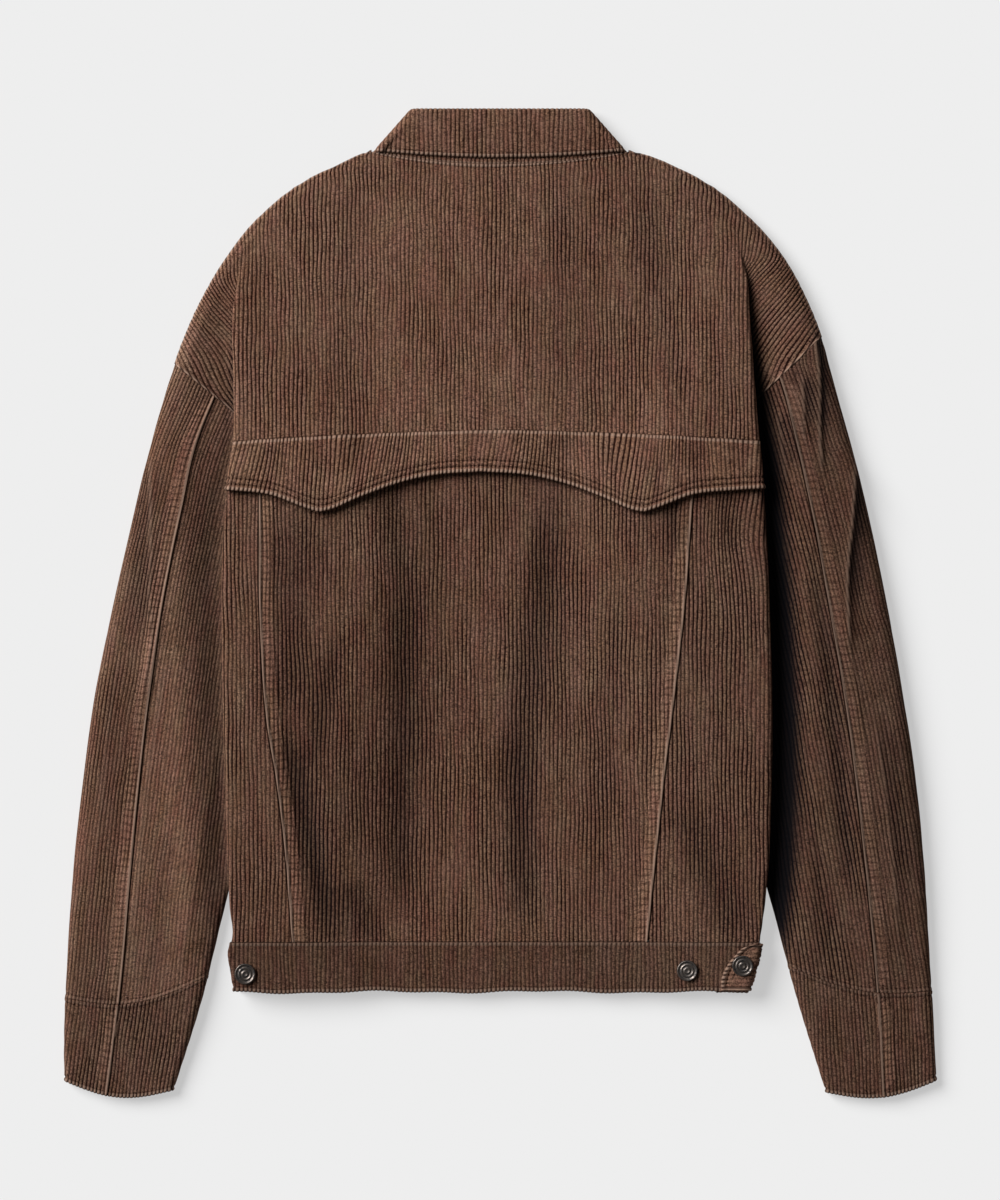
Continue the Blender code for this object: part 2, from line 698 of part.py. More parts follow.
def make_sleeves():
    rows = 12
    gap = 0.0016

    for side, word in SIDES.items():
        seams = [seam_around(side, row / rows) for row in range(rows + 1)]

        def ring(knots, counts, u):
            return np.interp(u * sum(counts), np.concatenate([[0], np.cumsum(counts)]), knots)

        def place_top(u, v):
            down = 1.0 - v
            seam = seams[int(round(down * rows))]
            around = ring([seam + gap, 1.0, 2.0, 2.0 + SLEEVE_HIDDEN_SEAM - gap], (3, 6, 3), u)
            return sleeve_point(side, min(max(down, 0.0), 0.9985), around, gap=ARMHOLE_GAP * v)

        def place_under(u, v):
            down = 1.0 - v
            seam = seams[int(round(down * rows))]
            around = ring([seam - gap, 0.0, -1.0, -2.0 + SLEEVE_HIDDEN_SEAM + gap], (5, 4, 4), u)
            return sleeve_point(side, min(max(down, 0.0), 0.9985), around, gap=ARMHOLE_GAP * v)

        wall(f"sleeve_top_{word}", 12, rows, place_top)
        wall(f"sleeve_under_{word}", 13, rows, place_under)


def make_cuffs():
    counts = (3, 5, 8, 5, 4)
    knots = (2.0 + SLEEVE_HIDDEN_SEAM - 0.004, 2.0, 1.0, 0.0, -1.0, -2.0 + SLEEVE_HIDDEN_SEAM + 0.004)

    for side, word in SIDES.items():

        def place(u, v):
            around = np.interp(u * sum(counts), np.concatenate([[0], np.cumsum(counts)]), knots)
            x, y, z = sleeve_point(side, mix(1.0016, 2.0, v), around)
            return x, y, z + (CUFF_CLOTH - CLOTH) / 2.0

        wall(f"cuff_{word}", sum(counts), 4, place, CUFF_CLOTH)


def make_waistband():
    """The band goes on from the body's cloth, as a back cut and two fronts."""
    top, low = WAIST_SEAM - SEAM_GAP, HEM
    lift = (BAND_CLOTH - CLOTH) / 2.0

    def back_place(u, v):
        y = mix(low, top, v)
        column = int(round(u * 40)) - 20
        side = LEFT if column < 0 else RIGHT
        cloth = column_places(side, y, (11, 5, 4, 0, 0, 0), 0.0)[abs(column)]
        return body_point(side, cloth, y)

    wall("waistband_back", 40, 2, back_place, BAND_CLOTH)
    for side, word in SIDES.items():

        def front_place(u, v):
            y = mix(low, top, v)
            marks = ((LIFT_FROM, 2), (LIFT_TO, 2))
            places = column_places(side, y, (3, 4, 3, 0, 0, 0), -LAP, False, marks)
            x, y, z = body_point(side, places[int(round(u * 14))], y, False, under=side == RIGHT)
            return x, y, z + lift

        wall(f"waistband_front_{word}", 14, 2, front_place, BAND_CLOTH)


def tab_root(side, y):
    return cloth_at_seam(side, y) - TAB_ROOT


def tab_tip(side, y):
    """Where the tab's tip lies along the cloth of the waistband. On the left it stays behind the fold."""
    if side == LEFT:
        return tab_root(side, y) - TAB_LENGTH + (TAB_TIP_AT(y) - TAB_TIP_AT(HEM))
    return TAB_TIP_AT(y)


def make_tabs():
    raised = (BAND_CLOTH + TAB_CLOTH) / 2.0 + SEAM_GAP + 0.05
    for side, word in SIDES.items():

        def place(u, v):
            y = mix(-309.2, -271.8, v)
            main, fold = body_section(side, round(float(y), 3), True)[3][:2]
            knots = [tab_tip(side, y), main, main + fold, tab_root(side, y)]
            if side == LEFT:
                knots[1:3] = [mix(knots[0], knots[3], share) for share in (0.33, 0.66)]
            cloth = np.interp(u, [0.0, 0.3, 0.7, 1.0], knots)
            return body_point(side, cloth, y, raised=raised)

        wall(f"waist_tab_{word}", 10, 4, place, TAB_CLOTH)


def collar_point(side, column, down, radius):
    """Point of the collar. Columns: 0 to 1 is the back from its middle, 1 to 2 the fold at the side of the
    neck, 2 to 3 the leaf in front. Down is 0 at the roll line and 1 at the free edge.
    """
    most = FALL_RADIUS + COLLAR_CLOTH / 2.0
    half = mix(ROLL_HALF, FREE_HALF, down) - most
    y = mix(ROLL_HEIGHT, FREE_HEIGHT, down)
    if column <= 1.0:
        return side * column * half, y, COLLAR_MIDDLE + radius
    if column <= 2.0:
        turn = math.pi * (column - 1.0)
        return side * (half + radius * math.sin(turn)), y, COLLAR_MIDDLE + radius * math.cos(turn)
    front = [mix(ROLL_FRONT[i], LEAF_POINT[i], down) for i in (0, 1)]
    share = column - 2.0
    return side * mix(half, front[0], share), mix(y, front[1], share), COLLAR_MIDDLE - radius


def make_collar():
    counts = (4, 4, 3)
    half = sum(counts)
    knots = np.concatenate([[0], np.cumsum(counts)])

    def place(u, v):
        column = u * 2 * half - half
        side = LEFT if column < 0 else RIGHT
        across = np.interp(abs(column), knots, [0.0, 1.0, 2.0, 3.0])
        if v <= 0.41:
            turn = math.pi * v / 0.4
            radius = mix(STAND_RADIUS, FALL_RADIUS, (1.0 - math.cos(turn)) / 2.0)
            down = 0.05 - 0.05 * math.sin(turn)
        else:
            down = mix(0.05, 1.0, (v - 0.4) / 0.6)
            radius = FALL_RADIUS - 0.9 * smooth_step((down - 0.3) / 0.7) * (across <= 1.0)
        if across > 1.0:
            radius = radius if v <= 0.41 else FALL_RADIUS
        x, y, z = collar_point(side, across, down, radius)
        sag = 2.0 * max(down - 0.2, 0.0) * (1.0 - min(across, 1.0) ** 2)
        return x, y - sag, z

    wall("collar", 2 * half, 8, place, COLLAR_CLOTH)


def make_stand():
    counts = (5, 4, 4)
    half = sum(counts)
    knots = np.concatenate([[0], np.cumsum(counts)])
    most = FALL_RADIUS + COLLAR_CLOTH / 2.0

    def place(u, v):
        column = u * 2 * half - half
        side = LEFT if column < 0 else RIGHT
        across = np.interp(abs(column), knots, [0.0, 1.0, 2.0, 3.0])
        share = mix(0.0, 0.9, v)
        top = collar_point(side, across, 0.07, STAND_RADIUS)
        if across <= 1.0:
            low_x = across * (NECK_HALF - most)
            low = (side * low_x, neck_seam(low_x) + SEAM_GAP, COLLAR_MIDDLE + STAND_RADIUS)
        elif across <= 2.0:
            turn = math.pi * (across - 1.0)
            low_x = NECK_HALF - most + STAND_RADIUS * math.sin(turn)
            low = (side * low_x, FREE_HEIGHT + SEAM_GAP, COLLAR_MIDDLE + STAND_RADIUS * math.cos(turn))
        else:
            low_y = mix(FREE_HEIGHT, NECK_FRONT, (across - 2.0) ** 1.0)
            low_x = min(max(neck_front_out(low_y), 1.0), NECK_HALF - most)
            low = (side * low_x, low_y + 1.2, COLLAR_MIDDLE - STAND_RADIUS)
        share = v
        return tuple(mix(low[i], top[i], share) for i in range(3))

    wall("collar_stand", 2 * half, 2, place, CLOTH)


def make_button(name, spot, normal):
    """A tack button: a low cap with a raised rim and a round middle, lying on the cloth."""
    x, y, z = spot
    profile = (
        (0.0, BUTTON_HEIGHT - 0.3),
        (0.38, BUTTON_HEIGHT - 0.4),
        (0.5, BUTTON_HEIGHT - 0.9),
        (0.82, BUTTON_HEIGHT),
        (1.0, 0.6 * BUTTON_HEIGHT),
        (0.92, 0.0),
        (0.0, 0.0),
    )
    shape = bmesh.new()
    corners = [shape.verts.new((share * BUTTON_RADIUS * MM, 0.0, up * MM)) for share, up in profile]
    edges = [shape.edges.new(pair) for pair in zip(corners, corners[1:])]
    bmesh.ops.spin(
        shape,
        geom=corners + edges,
        axis=(0, 0, 1),
        cent=(0, 0, 0),
        angle=2 * math.pi,
        steps=BUTTON_SIDES,
        use_merge=True,
    )
    bmesh.ops.remove_doubles(shape, verts=shape.verts, dist=1e-6)
    bmesh.ops.recalc_face_normals(shape, faces=shape.faces)
    part = add_object(name, shape, BRASS)
    part.rotation_mode = "QUATERNION"
    from_up = np.array([0.0, 0.0, 1.0])
    normal = np.asarray(normal, float) / np.linalg.norm(normal)
    axis = np.cross(from_up, normal)
    angle = math.atan2(np.linalg.norm(axis), float(from_up @ normal))
    if np.linalg.norm(axis) < 1e-9:
        axis = np.array([1.0, 0.0, 0.0])
    axis = axis / np.linalg.norm(axis)
    part.rotation_quaternion = (math.cos(angle / 2), *(math.sin(angle / 2) * axis))
    part.location = (x * MM, y * MM, z * MM)


def surface_normal(place):
    """Normal of a surface place(a, b) by small steps."""
    here = np.array(place(0.0, 0.0))
    one = np.array(place(1.0, 0.0)) - here
    two = np.array(place(0.0, 1.0)) - here
    normal = np.cross(one, two)
    return here, normal / np.linalg.norm(normal)


def make_buttons():
    over_band = BAND_CLOTH / 2.0 + SEAM_GAP + 0.2
    for name, side, out, y in WAIST_BUTTONS:
        here, normal = surface_normal(lambda a, b: body_point(side, out + side * a, y + b))
        make_button(name, here + normal * over_band, normal)
    for name, side in (("waist_button_3", RIGHT), ("waist_button_4", LEFT)):
        y = TAB_BUTTON_HEIGHT
        cloth = tab_tip(side, y) + TAB_BUTTON_FROM_TIP
        here, normal = surface_normal(lambda a, b: body_point(side, cloth + side * a, y + b))
        lift = over_band + TAB_CLOTH + SEAM_GAP
        make_button(name, here + normal * lift, normal)
    for i, y in enumerate(FRONT_BUTTONS, 1):
        make_button(f"front_button_{i}", (0.0, y, BUTTON_HEIGHT), (0.0, 0.0, -1.0))


def clear_scene():
    for thing in list(bpy.data.objects):
        bpy.data.objects.remove(thing, do_unlink=True)


def main():
    clear_scene()
    make_yoke()
    make_flap()
    make_centre_back()
    make_side_backs()
    make_fronts()
    make_sleeves()
    make_cuffs()
    make_waistband()
    make_tabs()
    make_collar()
    make_stand()
    make_buttons()


main()
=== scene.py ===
"""Finish of a brown corduroy trucker jacket that lies flat on its front, with its back up.

Every cut piece is a thin shell on its solid's form. A shell's grid follows the wales of its cloth, so each
wale is a real ridge; the pile, the wear, the pull of the stitches and the painted shade and highlights are
in the materials. Sizes are in millimetres until a point is placed.
"""

import functools
import math

import bmesh
import bpy
import numpy as np
from mathutils import Matrix, Vector


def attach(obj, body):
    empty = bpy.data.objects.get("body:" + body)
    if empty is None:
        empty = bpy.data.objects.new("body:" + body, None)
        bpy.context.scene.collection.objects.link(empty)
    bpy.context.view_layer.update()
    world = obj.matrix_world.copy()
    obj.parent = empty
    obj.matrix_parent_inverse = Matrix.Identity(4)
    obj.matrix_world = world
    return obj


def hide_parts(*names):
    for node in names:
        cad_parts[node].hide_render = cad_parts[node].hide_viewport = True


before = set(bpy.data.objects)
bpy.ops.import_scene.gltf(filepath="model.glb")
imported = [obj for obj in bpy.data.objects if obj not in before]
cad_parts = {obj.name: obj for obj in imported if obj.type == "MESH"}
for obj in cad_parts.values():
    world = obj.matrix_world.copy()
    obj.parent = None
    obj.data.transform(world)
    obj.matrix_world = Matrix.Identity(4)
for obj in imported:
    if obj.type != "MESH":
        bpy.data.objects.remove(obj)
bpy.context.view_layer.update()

MM = 0.001
LEFT, RIGHT = -1, 1
SIDES = {LEFT: "left", RIGHT: "right"}

CLOTH, BAND_CLOTH, COLLAR_CLOTH, TAB_CLOTH, CUFF_CLOTH = 1.6, 2.6, 2.0, 1.8, 2.0
SEAM_GAP = 0.3

# Outer edge of the shoulders, sleeves and cuffs: height, then the distance out on the left and on the right.
OUTER_EDGE = (
    (-382.0, 347.0, 348.0),
    (-366.0, 347.4, 347.0),
    (-334.0, 347.0, 345.4),
    (-270.0, 344.0, 341.6),
    (-206.0, 339.2, 337.6),
    (-142.0, 332.0, 331.2),
    (-78.0, 323.2, 321.6),
    (-14.0, 310.4, 310.4),
    (50.0, 296.0, 297.6),
    (114.0, 280.8, 282.4),
    (178.0, 262.4, 264.8),
    (210.0, 251.2, 256.0),
    (242.0, 236.8, 243.2),
    (274.0, 217.6, 225.6),
    (306.0, 192.0, 198.4),
    (338.0, 150.4, 156.8),
    (354.0, 116.8, 122.4),
    (360.0, 103.0, 103.0),
)
# Edge over which each side of the back folds.
BACK_FOLD_EDGE = (
    (-313.0, 211.0, 196.0),
    (-292.0, 214.2, 202.0),
    (-277.0, 215.8, 205.6),
    (-270.0, 213.4, 206.5),
    (-240.0, 215.0, 210.5),
    (-120.0, 219.0, 216.0),
    (0.0, 221.0, 214.0),
    (90.0, 217.5, 209.5),
    (130.0, 212.0, 206.0),
    (190.0, 212.0, 201.0),
    (235.0, 212.0, 198.0),
    (262.0, 206.0, 196.0),
    (306.0, 166.0, 172.0),
    (338.0, 122.0, 128.0),
    (360.0, 76.0, 76.0),
)
# How far the cloth turns in behind that edge. It is less than nothing above the fold.
FOLD_DEPTH = (
    (-313.0, 60.0, 24.0),
    (-270.0, 64.0, 28.0),
    (-120.0, 92.0, 74.0),
    (0.0, 106.0, 95.0),
    (60.0, 109.0, 97.0),
    (100.0, 93.0, 86.0),
    (150.0, 43.0, 48.0),
    (200.0, 23.0, 30.0),
    (256.0, 0.0, 7.0),
    (274.0, -5.0, 0.0),
    (300.0, -8.0, -7.0),
    (360.0, -8.0, -8.0),
)
# Share of the full step from the back down to the dropped shoulder beside the fold.
FOLD_SHARE = (
    (180.0, 1.0, 1.0),
    (215.0, 0.86, 0.92),
    (245.0, 0.5, 0.68),
    (268.0, 0.2, 0.38),
    (290.0, 0.03, 0.12),
    (310.0, 0.0, 0.0),
)
# Height of the back's cloth at its fold edge, and over the middle of the back.
EDGE_HEIGHT = (
    (-313.0, 17.0, 17.0),
    (-270.0, 17.6, 17.8),
    (-220.0, 20.0, 20.5),
    (-120.0, 22.0, 23.0),
    (60.0, 24.0, 24.5),
    (140.0, 23.5, 24.5),
    (200.0, 20.0, 22.0),
    (256.0, 15.0, 17.0),
    (300.0, 12.3, 12.5),
    (360.0, 11.0, 11.0),
)
MIDDLE_HEIGHT = (
    (-313.0, 11.4, 11.4),
    (-250.0, 11.6, 11.6),
    (100.0, 12.0, 12.0),
    (250.0, 11.6, 11.6),
    (340.0, 11.0, 11.0),
)
# Height of a sleeve's upper side along its middle.
SLEEVE_CROWN = (
    (-395.0, 8.5, 8.5),
    (-320.0, 12.0, 12.0),
    (-200.0, 16.0, 16.0),
    (0.0, 17.5, 17.5),
    (150.0, 16.0, 16.0),
    (220.0, 14.0, 14.0),
    (300.0, 12.0, 12.0),
)
# Inner edge of the sleeves, and the seam down the back of each.
SLEEVE_INNER = (
    (-392.0, 262.4, 261.5),
    (-318.0, 239.2, 238.6),
    (-238.0, 219.2, 216.8),
    (-78.0, 172.8, 172.0),
    (34.0, 142.0, 141.0),
    (98.0, 124.0, 124.0),
)
SLEEVE_SEAM = (
    (-394.0, 313.6, 305.2),
    (-324.0, 304.0, 301.4),
    (-206.8, 292.8, 290.4),
    (-78.0, 279.2, 274.6),
    (0.0, 268.0, 261.6),
    (78.0, 252.8, 247.0),
    (120.0, 244.0, 238.0),
    (166.0, 226.8, 227.2),
    (190.0, 217.0, 220.0),
)
# Seam between the centre back and each side back.
SIDE_BACK_SEAM = (
    (-270.0, 166.0, 118.0),
    (-215.0, 171.5, 124.0),
    (-145.0, 180.0, 132.0),
    (-84.0, 188.5, 139.2),
    (0.0, 193.0, 148.8),
    (84.0, 193.0, 155.2),
    (140.0, 193.0, 157.0),
)
# Creases of the back: top end, bottom end, half width and depth. A negative depth is a ridge.
CREASES = (
    (-74.0, 10.0, -76.0, -240.0, 13.0, 2.5),
    (-86.0, 84.0, -76.0, 20.0, 12.0, 1.6),
    (44.0, 70.0, 17.0, -130.0, 14.0, 2.0),
    (17.0, -120.0, 22.0, -250.0, 13.0, 2.6),
    (-167.0, -110.0, -133.0, -262.0, 10.0, 3.4),
    (-182.0, -150.0, -158.0, -262.0, 10.0, -1.4),
    (-164.0, 60.0, -166.0, -90.0, 20.0, 1.8),
    (-128.0, -30.0, -147.0, -130.0, 10.0, 1.6),
    (-116.0, -226.0, -104.0, -270.0, 16.0, 2.2),
    (95.0, 0.0, 84.0, -170.0, 12.0, 1.0),
    (150.0, -170.0, 190.0, -265.0, 20.0, 2.0),
    (142.0, 80.0, 143.0, 40.0, 9.0, 1.6),
    (181.0, 86.0, 186.0, 40.0, 9.0, 1.4),
    (118.0, 330.0, 142.0, 160.0, 14.0, 1.2),
    (-117.0, 330.0, -118.0, 170.0, 16.0, 0.8),
    (-194.0, 300.0, -190.0, 170.0, 14.0, 0.8),
    (54.0, 330.0, 54.0, 180.0, 18.0, 0.9),
)
# Painted shadow in the gap beside each side fold: how far out it stays dark, and where it is clear.
GAP_DARK = (
    (-313.0, 10.0, 15.0),
    (-60.0, 12.0, 15.0),
    (0.0, 12.0, 13.0),
    (66.0, 10.0, 10.0),
    (114.0, 7.0, 9.0),
    (146.0, 4.0, 6.0),
    (178.0, 2.0, 4.0),
    (210.0, 0.0, 2.0),
    (260.0, -2.0, 0.0),
)
GAP_CLEAR = (
    (-313.0, 28.0, 31.0),
    (-60.0, 30.0, 30.0),
    (0.0, 30.0, 28.0),
    (66.0, 26.0, 26.0),
    (114.0, 20.0, 25.0),
    (146.0, 16.0, 22.0),
    (178.0, 10.0, 15.0),
    (210.0, 6.0, 9.0),
    (260.0, 3.0, 6.0),
)
GAP_SHADE = {LEFT: 0.45, RIGHT: 0.97}
# Painted shade in the back's creases: its share for each millimetre of depth, and its most. Then painted
# shade that grows towards the right, away from the light: where it starts, over what width, and its most.
CREASE_SHADE, CREASE_SHADE_MOST = 0.14, 0.46
FADE_FROM, FADE_OVER, FADE_SHADE = -150.0, 400.0, 0.18

WAIST_SEAM, HEM = -270.5, -310.0
YOKE_SEAM_TOP, YOKE_SEAM_DROP, YOKE_SEAM_SPAN = 137.8, 9.4, 212.0
NECK_LOW, NECK_RISE, NECK_HALF = 350.0, 9.6, 101.0
PANEL_TUCK = 1.0
# Lower edge of the flap: distance from its middle, and height. Its two points hang lowest.
FLAP_MIDDLE = -15.0
FLAP_EDGE = (
    (0.0, 104.4),
    (40.0, 101.2),
    (71.0, 93.6),
    (98.0, 83.6),
    (124.0, 73.2),
    (130.0, 72.2),
    (138.0, 74.4),
    (168.0, 85.4),
    (205.0, 89.5),
    (300.0, 90.0),
)
FLAP_TURN_IN, FLAP_ROWS, PANEL_SINK_END = 30.0, 8, 50.0
PANEL_SINK, PANEL_SINK_FROM, PANEL_SINK_FULL = 2.8, 12.0, 62.0
# Where the flap stands off the back: its edge's lift, the height over which that fades, and its puckers.
FLAP_LIFT, FLAP_LIFT_OVER, FLAP_PUCKER = 3.4, 30.0, 0.6
FLAP_LEAN, FLAP_LEAN_CHANGE, FLAP_LEAN_WAVE = 0.08, 0.0003, 0.08
# Straight rows that the seams bend: the yoke's lowest and highest, then the panels' highest.
YOKE_ROW_LOW, YOKE_ROW_HIGH, NECK_BEND = 136.0, 356.0, 26.0
PANEL_ROW_HIGH, PANEL_BEND = 128.0, 68.0
SEAM_LINE = 0.1

# Levels of the layers between back and front, as middles of the walls.
FRONT_LEVEL = CLOTH / 2
SLEEVE_LOW_LEVEL, SLEEVE_HIGH_LEVEL = 6.2, 10.2
SLEEVE_BESIDE_BODY, SLEEVE_RISE, SLEEVE_STEP = 7.0, 39.0, 12.0
FRONT_FOLD_INSET = 3.0
# Radii of the fold and of the pocket behind it, as shares of the step down to the arm, and the least step.
ROLL_SHARE, POCKET_SHARE, LEAST_STEP = 0.28, 0.2, 0.02
# The rim's reach for its half height, and the most of the arm's width that it takes.
RIM_ROUND, RIM_MOST = 1.15, 0.7
# Samples of a section's stretches.
MAIN_COUNT, ROLL_ARC, TURNED_COUNT, BETWEEN_COUNT = 160, 17, 24, 12
POCKET_ARC, ARM_COUNT, RIM_COUNT = 13, 60, 14
RISE_WIDTH, RISE_PAST_SEAM = 84.0, 4.0
ARMPIT_HEIGHT = {LEFT: 98.0, RIGHT: 105.0}
SEAM_CLOSING, SEAM_HALF_GAP = 18.0, 0.95
SEAM_CLOSING_TOP, SEAM_CLOSING_LOW, SEAM_CLOSING_RAMP = 22.0, -264.0, 40.0
EDGE_DROP, EDGE_HALF_GAP = 1.4, 0.7
ARMPIT_OUT = 124.0
TIP_HEIGHT = {LEFT: 189.2, RIGHT: 210.8}
ARMHOLE_SAG = {LEFT: 7.0, RIGHT: 9.0}
CUFF_SEAM = {LEFT: (-298.0, -315.6, 12.5), RIGHT: (-290.0, -310.0, 9.5)}
CUFF_END = {LEFT: (-389.2, -382.0, 9.2), RIGHT: (-391.0, -381.5, 8.6)}
SLEEVE_HIDDEN_SEAM = 0.5
# How far a sleeve's folds reach for their height, and how far in from each edge that height is taken.
SLEEVE_ROUND, ROUND_OUTSIDE, ROUND_INSIDE = 0.575, 6.0, 3.0
# Gaps along the sleeve's and cuff's seams, as shares of the way round, and between the two along it.
SLEEVE_SEAM_SHARE, CUFF_SIDE_SHARE = 0.0016, 0.004
ARMHOLE_LAP = 1.2
CUFF_GAP = 0.0003
SLEEVE_LEAN = {LEFT: 0.02, RIGHT: 0.06}
FINER, COARSER = 1.1, 0.92

LAP, LAP_STEP, BAND_LAP_STEP = 14.0, 2.1, 3.1
BUTTON_LIFT, LIFT_FROM, LIFT_TO = 2.7, 20.0, 46.0
COLLAR_LIFT, COLLAR_LIFT_OUT, COLLAR_LIFT_LOW, COLLAR_LIFT_RAMP = 3.8, 134.0, 205.0, 26.0
NECK_FRONT, NECK_OPENS, NECK_OPENS_OVER = 275.0, 262.0, 26.0
FRONT_BUTTONS = (245.0, 140.0, 35.0, -70.0, -175.0, -290.0)

ROLL_HEIGHT, ROLL_HALF = 393.2, 72.0
FREE_HEIGHT, FREE_HALF = 359.8, 101.5
ROLL_FRONT, LEAF_POINT = (6.0, 306.0), (58.0, 240.0)
COLLAR_MIDDLE, STAND_RADIUS, FALL_RADIUS = 7.8, 3.2, 6.7
ROLL_ROWS, ROLL_INSIDE, STAND_TOP = 0.375, 0.05, 0.07
FALL_DROP, FALL_SAG = 2.0, 6.0
STAND_LAP, STAND_SINK = 1.4, 0.4

TAB_TIP = (
    (-309.6, 176.4),
    (-301.0, 176.4),
    (-289.0, 181.2),
    (-280.4, 188.0),
    (-274.0, 196.0),
    (-271.6, 203.0),
)
TAB_ROOT, TAB_LENGTH, TAB_GAP = 2.0, 50.0, 0.35
WAIST_BUTTONS = (("waist_button_1", LEFT, 203.2, -295.6), ("waist_button_2", RIGHT, 149.6, -293.2))
TAB_BUTTON_HEIGHT, TAB_BUTTON_FROM_TIP = -289.0, 12.0
BUTTON_RADIUS, BUTTON_HEIGHT, BUTTON_GAP, BUTTON_TURNS = 8.3, 2.4, 0.5, 40
# Outline of a button's cap, as shares of its radius with the height at each: a low middle, a turned groove
# and a rolled rim.
BUTTON_OUTLINE = (
    (0.0, 1.75),
    (0.12, 1.7),
    (0.2, 2.1),
    (0.28, 2.1),
    (0.34, 1.5),
    (0.46, 1.4),
    (0.52, 2.0),
    (0.59, 2.05),
    (0.66, 1.5),
    (0.8, 1.55),
    (0.87, 2.3),
    (0.95, 2.3),
    (1.0, 1.7),
    (0.98, 0.9),
    (0.9, 0.1),
    (0.0, 0.1),
)

# Folds of the sleeves' upper sides, as heights with the distance out at each: reach towards the body, reach
# outwards, rise, and the share of painted shade beyond the fold. One that sinks is a hollow, with painted
# shade all over.
SLEEVE_FOLDS = (
    (
        LEFT,
        ((108.0, 279.5), (35.0, 278.6), (2.0, 279.5), (-17.0, 277.6), (-72.0, 283.0)),
        *(12.0, 4.0, 3.8, 0.36),
    ),
    (LEFT, ((130.0, 236.0), (20.0, 240.0), (-40.0, 250.0)), 14.0, 14.0, -1.6, 0.12),
    (LEFT, ((-50.0, 268.0), (-150.0, 282.0), (-250.0, 292.0)), 14.0, 6.0, 1.6, 0.15),
    (LEFT, ((-90.0, 222.0), (-190.0, 238.0), (-280.0, 252.0)), 12.0, 12.0, 1.6, 0.0),
    (LEFT, ((-60.0, 308.0), (-140.0, 316.0), (-200.0, 322.0)), 8.0, 8.0, 1.4, 0.12),
    (LEFT, ((-190.0, 262.0), (-300.0, 275.0)), 9.0, 9.0, -1.2, 0.12),
    (
        RIGHT,
        ((216.0, 251.0), (186.0, 254.8), (162.0, 255.4), (137.0, 255.2), (108.0, 257.0)),
        *(8.0, 1.5, 3.2, 0.88),
    ),
    (
        RIGHT,
        ((112.0, 284.0), (84.0, 282.4), (58.0, 280.5), (40.0, 278.4), (18.0, 277.2), (-32.0, 279.0)),
        *(10.0, 3.0, 4.4, 0.74),
    ),
    (RIGHT, ((178.0, 241.5), (150.0, 242.5), (132.0, 243.0)), 5.0, 2.5, 1.8, 0.5),
    (RIGHT, ((150.0, 222.0), (120.0, 226.0), (96.0, 229.0)), 5.0, 4.0, 1.6, 0.35),
    (RIGHT, ((20.0, 252.0), (-60.0, 264.0), (-130.0, 271.0), (-220.0, 280.0)), 7.0, 7.0, -1.8, 0.32),
    (RIGHT, ((-100.0, 300.0), (-190.0, 312.0), (-270.0, 318.0)), 10.0, 6.0, 2.0, 0.2),
    (RIGHT, ((-130.0, 240.0), (-220.0, 256.0), (-290.0, 266.0)), 8.0, 8.0, -1.4, 0.15),
)

# Parts of a fold's and a crease's length over which each end fades.
FOLD_FADE, CREASE_FADE = 0.22, 0.3
# Painted highlight along the ridge of a sharp fold: its middle off the fold, and its half width.
HIGHLIGHT_MIDDLE, HIGHLIGHT_HALF = -0.7, 1.3
# Broad patches of painted shade: their middle, their two reaches and their share.
SOFT_SHADES = (
    (-140.0, -150.0, 52.0, 120.0, 0.24),
    (-60.0, -60.0, 26.0, 110.0, 0.12),
    (40.0, 10.0, 18.0, 110.0, 0.14),
    (12.0, -150.0, 22.0, 90.0, 0.1),
    (-150.0, 40.0, 30.0, 40.0, 0.16),
    (-290.0, -350.0, 110.0, 120.0, 0.3),
    (-300.0, -60.0, 26.0, 160.0, 0.1),
)
# Where the wales are pulled sideways: the middle of each pull, its two reaches and its most.
PULLS = (
    (190.0, 52.0, 22.0, 34.0, 5.0),
    (-190.0, 40.0, 20.0, 40.0, -2.0),
    (98.0, -60.0, 26.0, 60.0, 1.6),
    (-140.0, -80.0, 24.0, 50.0, -2.2),
    (-20.0, -180.0, 30.0, 60.0, 1.2),
)
# The wales past the shoulder fold: how far they slant, how much they turn, and the height they turn about.
SLANTED = {LEFT: 0.8, RIGHT: 0.74}
SHOULDER_TURN, TURN_MIDDLE, TURN_BEFORE, TURN_OVER = 0.215, 200.0, 10.0, 25.0
HEM_WAVE, HEM_WAVE_OVER = 0.8, 14.0

# The cloth: distance between wales, height of a wale's ridge and how full it is, and where a wale's columns
# stand in the finer and the coarser grid.
WALE, RIDGE, RIDGE_FULLNESS = 3.3, 0.62, 0.6
WALE_COLUMNS = {4: (0.0, 0.2, 0.5, 0.8), 3: (0.0, 0.3, 0.7)}
WANDER, WANDER_OWN, WANDER_FADE = 0.15, 0.09, 9.0
# A cut's least side, in metres, and the least share of its width by its length that it fills.
LEAST_CUT, LEAST_FILL = 0.012, 0.31
# Samples along a row of points, and the steps of the table of the body's sections. A row that bends and
# ends where its height says is settled by turns.
DENSE, CLOTH_STEP, LEVEL_STEP, SETTLING = 640, 0.8, 2.5, 4
CLOTH_MOST, LEVEL_TOP = 480.0, 363.0
# The grid's rows: their steps, and how near they lie to a sewn seam or edge.
ROW_STEP, FRONT_ROW_STEP = 3.6, 5.0
FINE_EDGE = (0.5, 1.1, 1.9)
BESIDE_SEAM = (0.6, 1.4, 2.6, 4.6)
BESIDE_EDGE = (0.4, 1.0, 2.2, 3.6, 4.8, 6.0, 7.6, 9.4, 11.0, 13.0)
BESIDE_BAND = (0.5, 1.2, 2.2, 3.4)
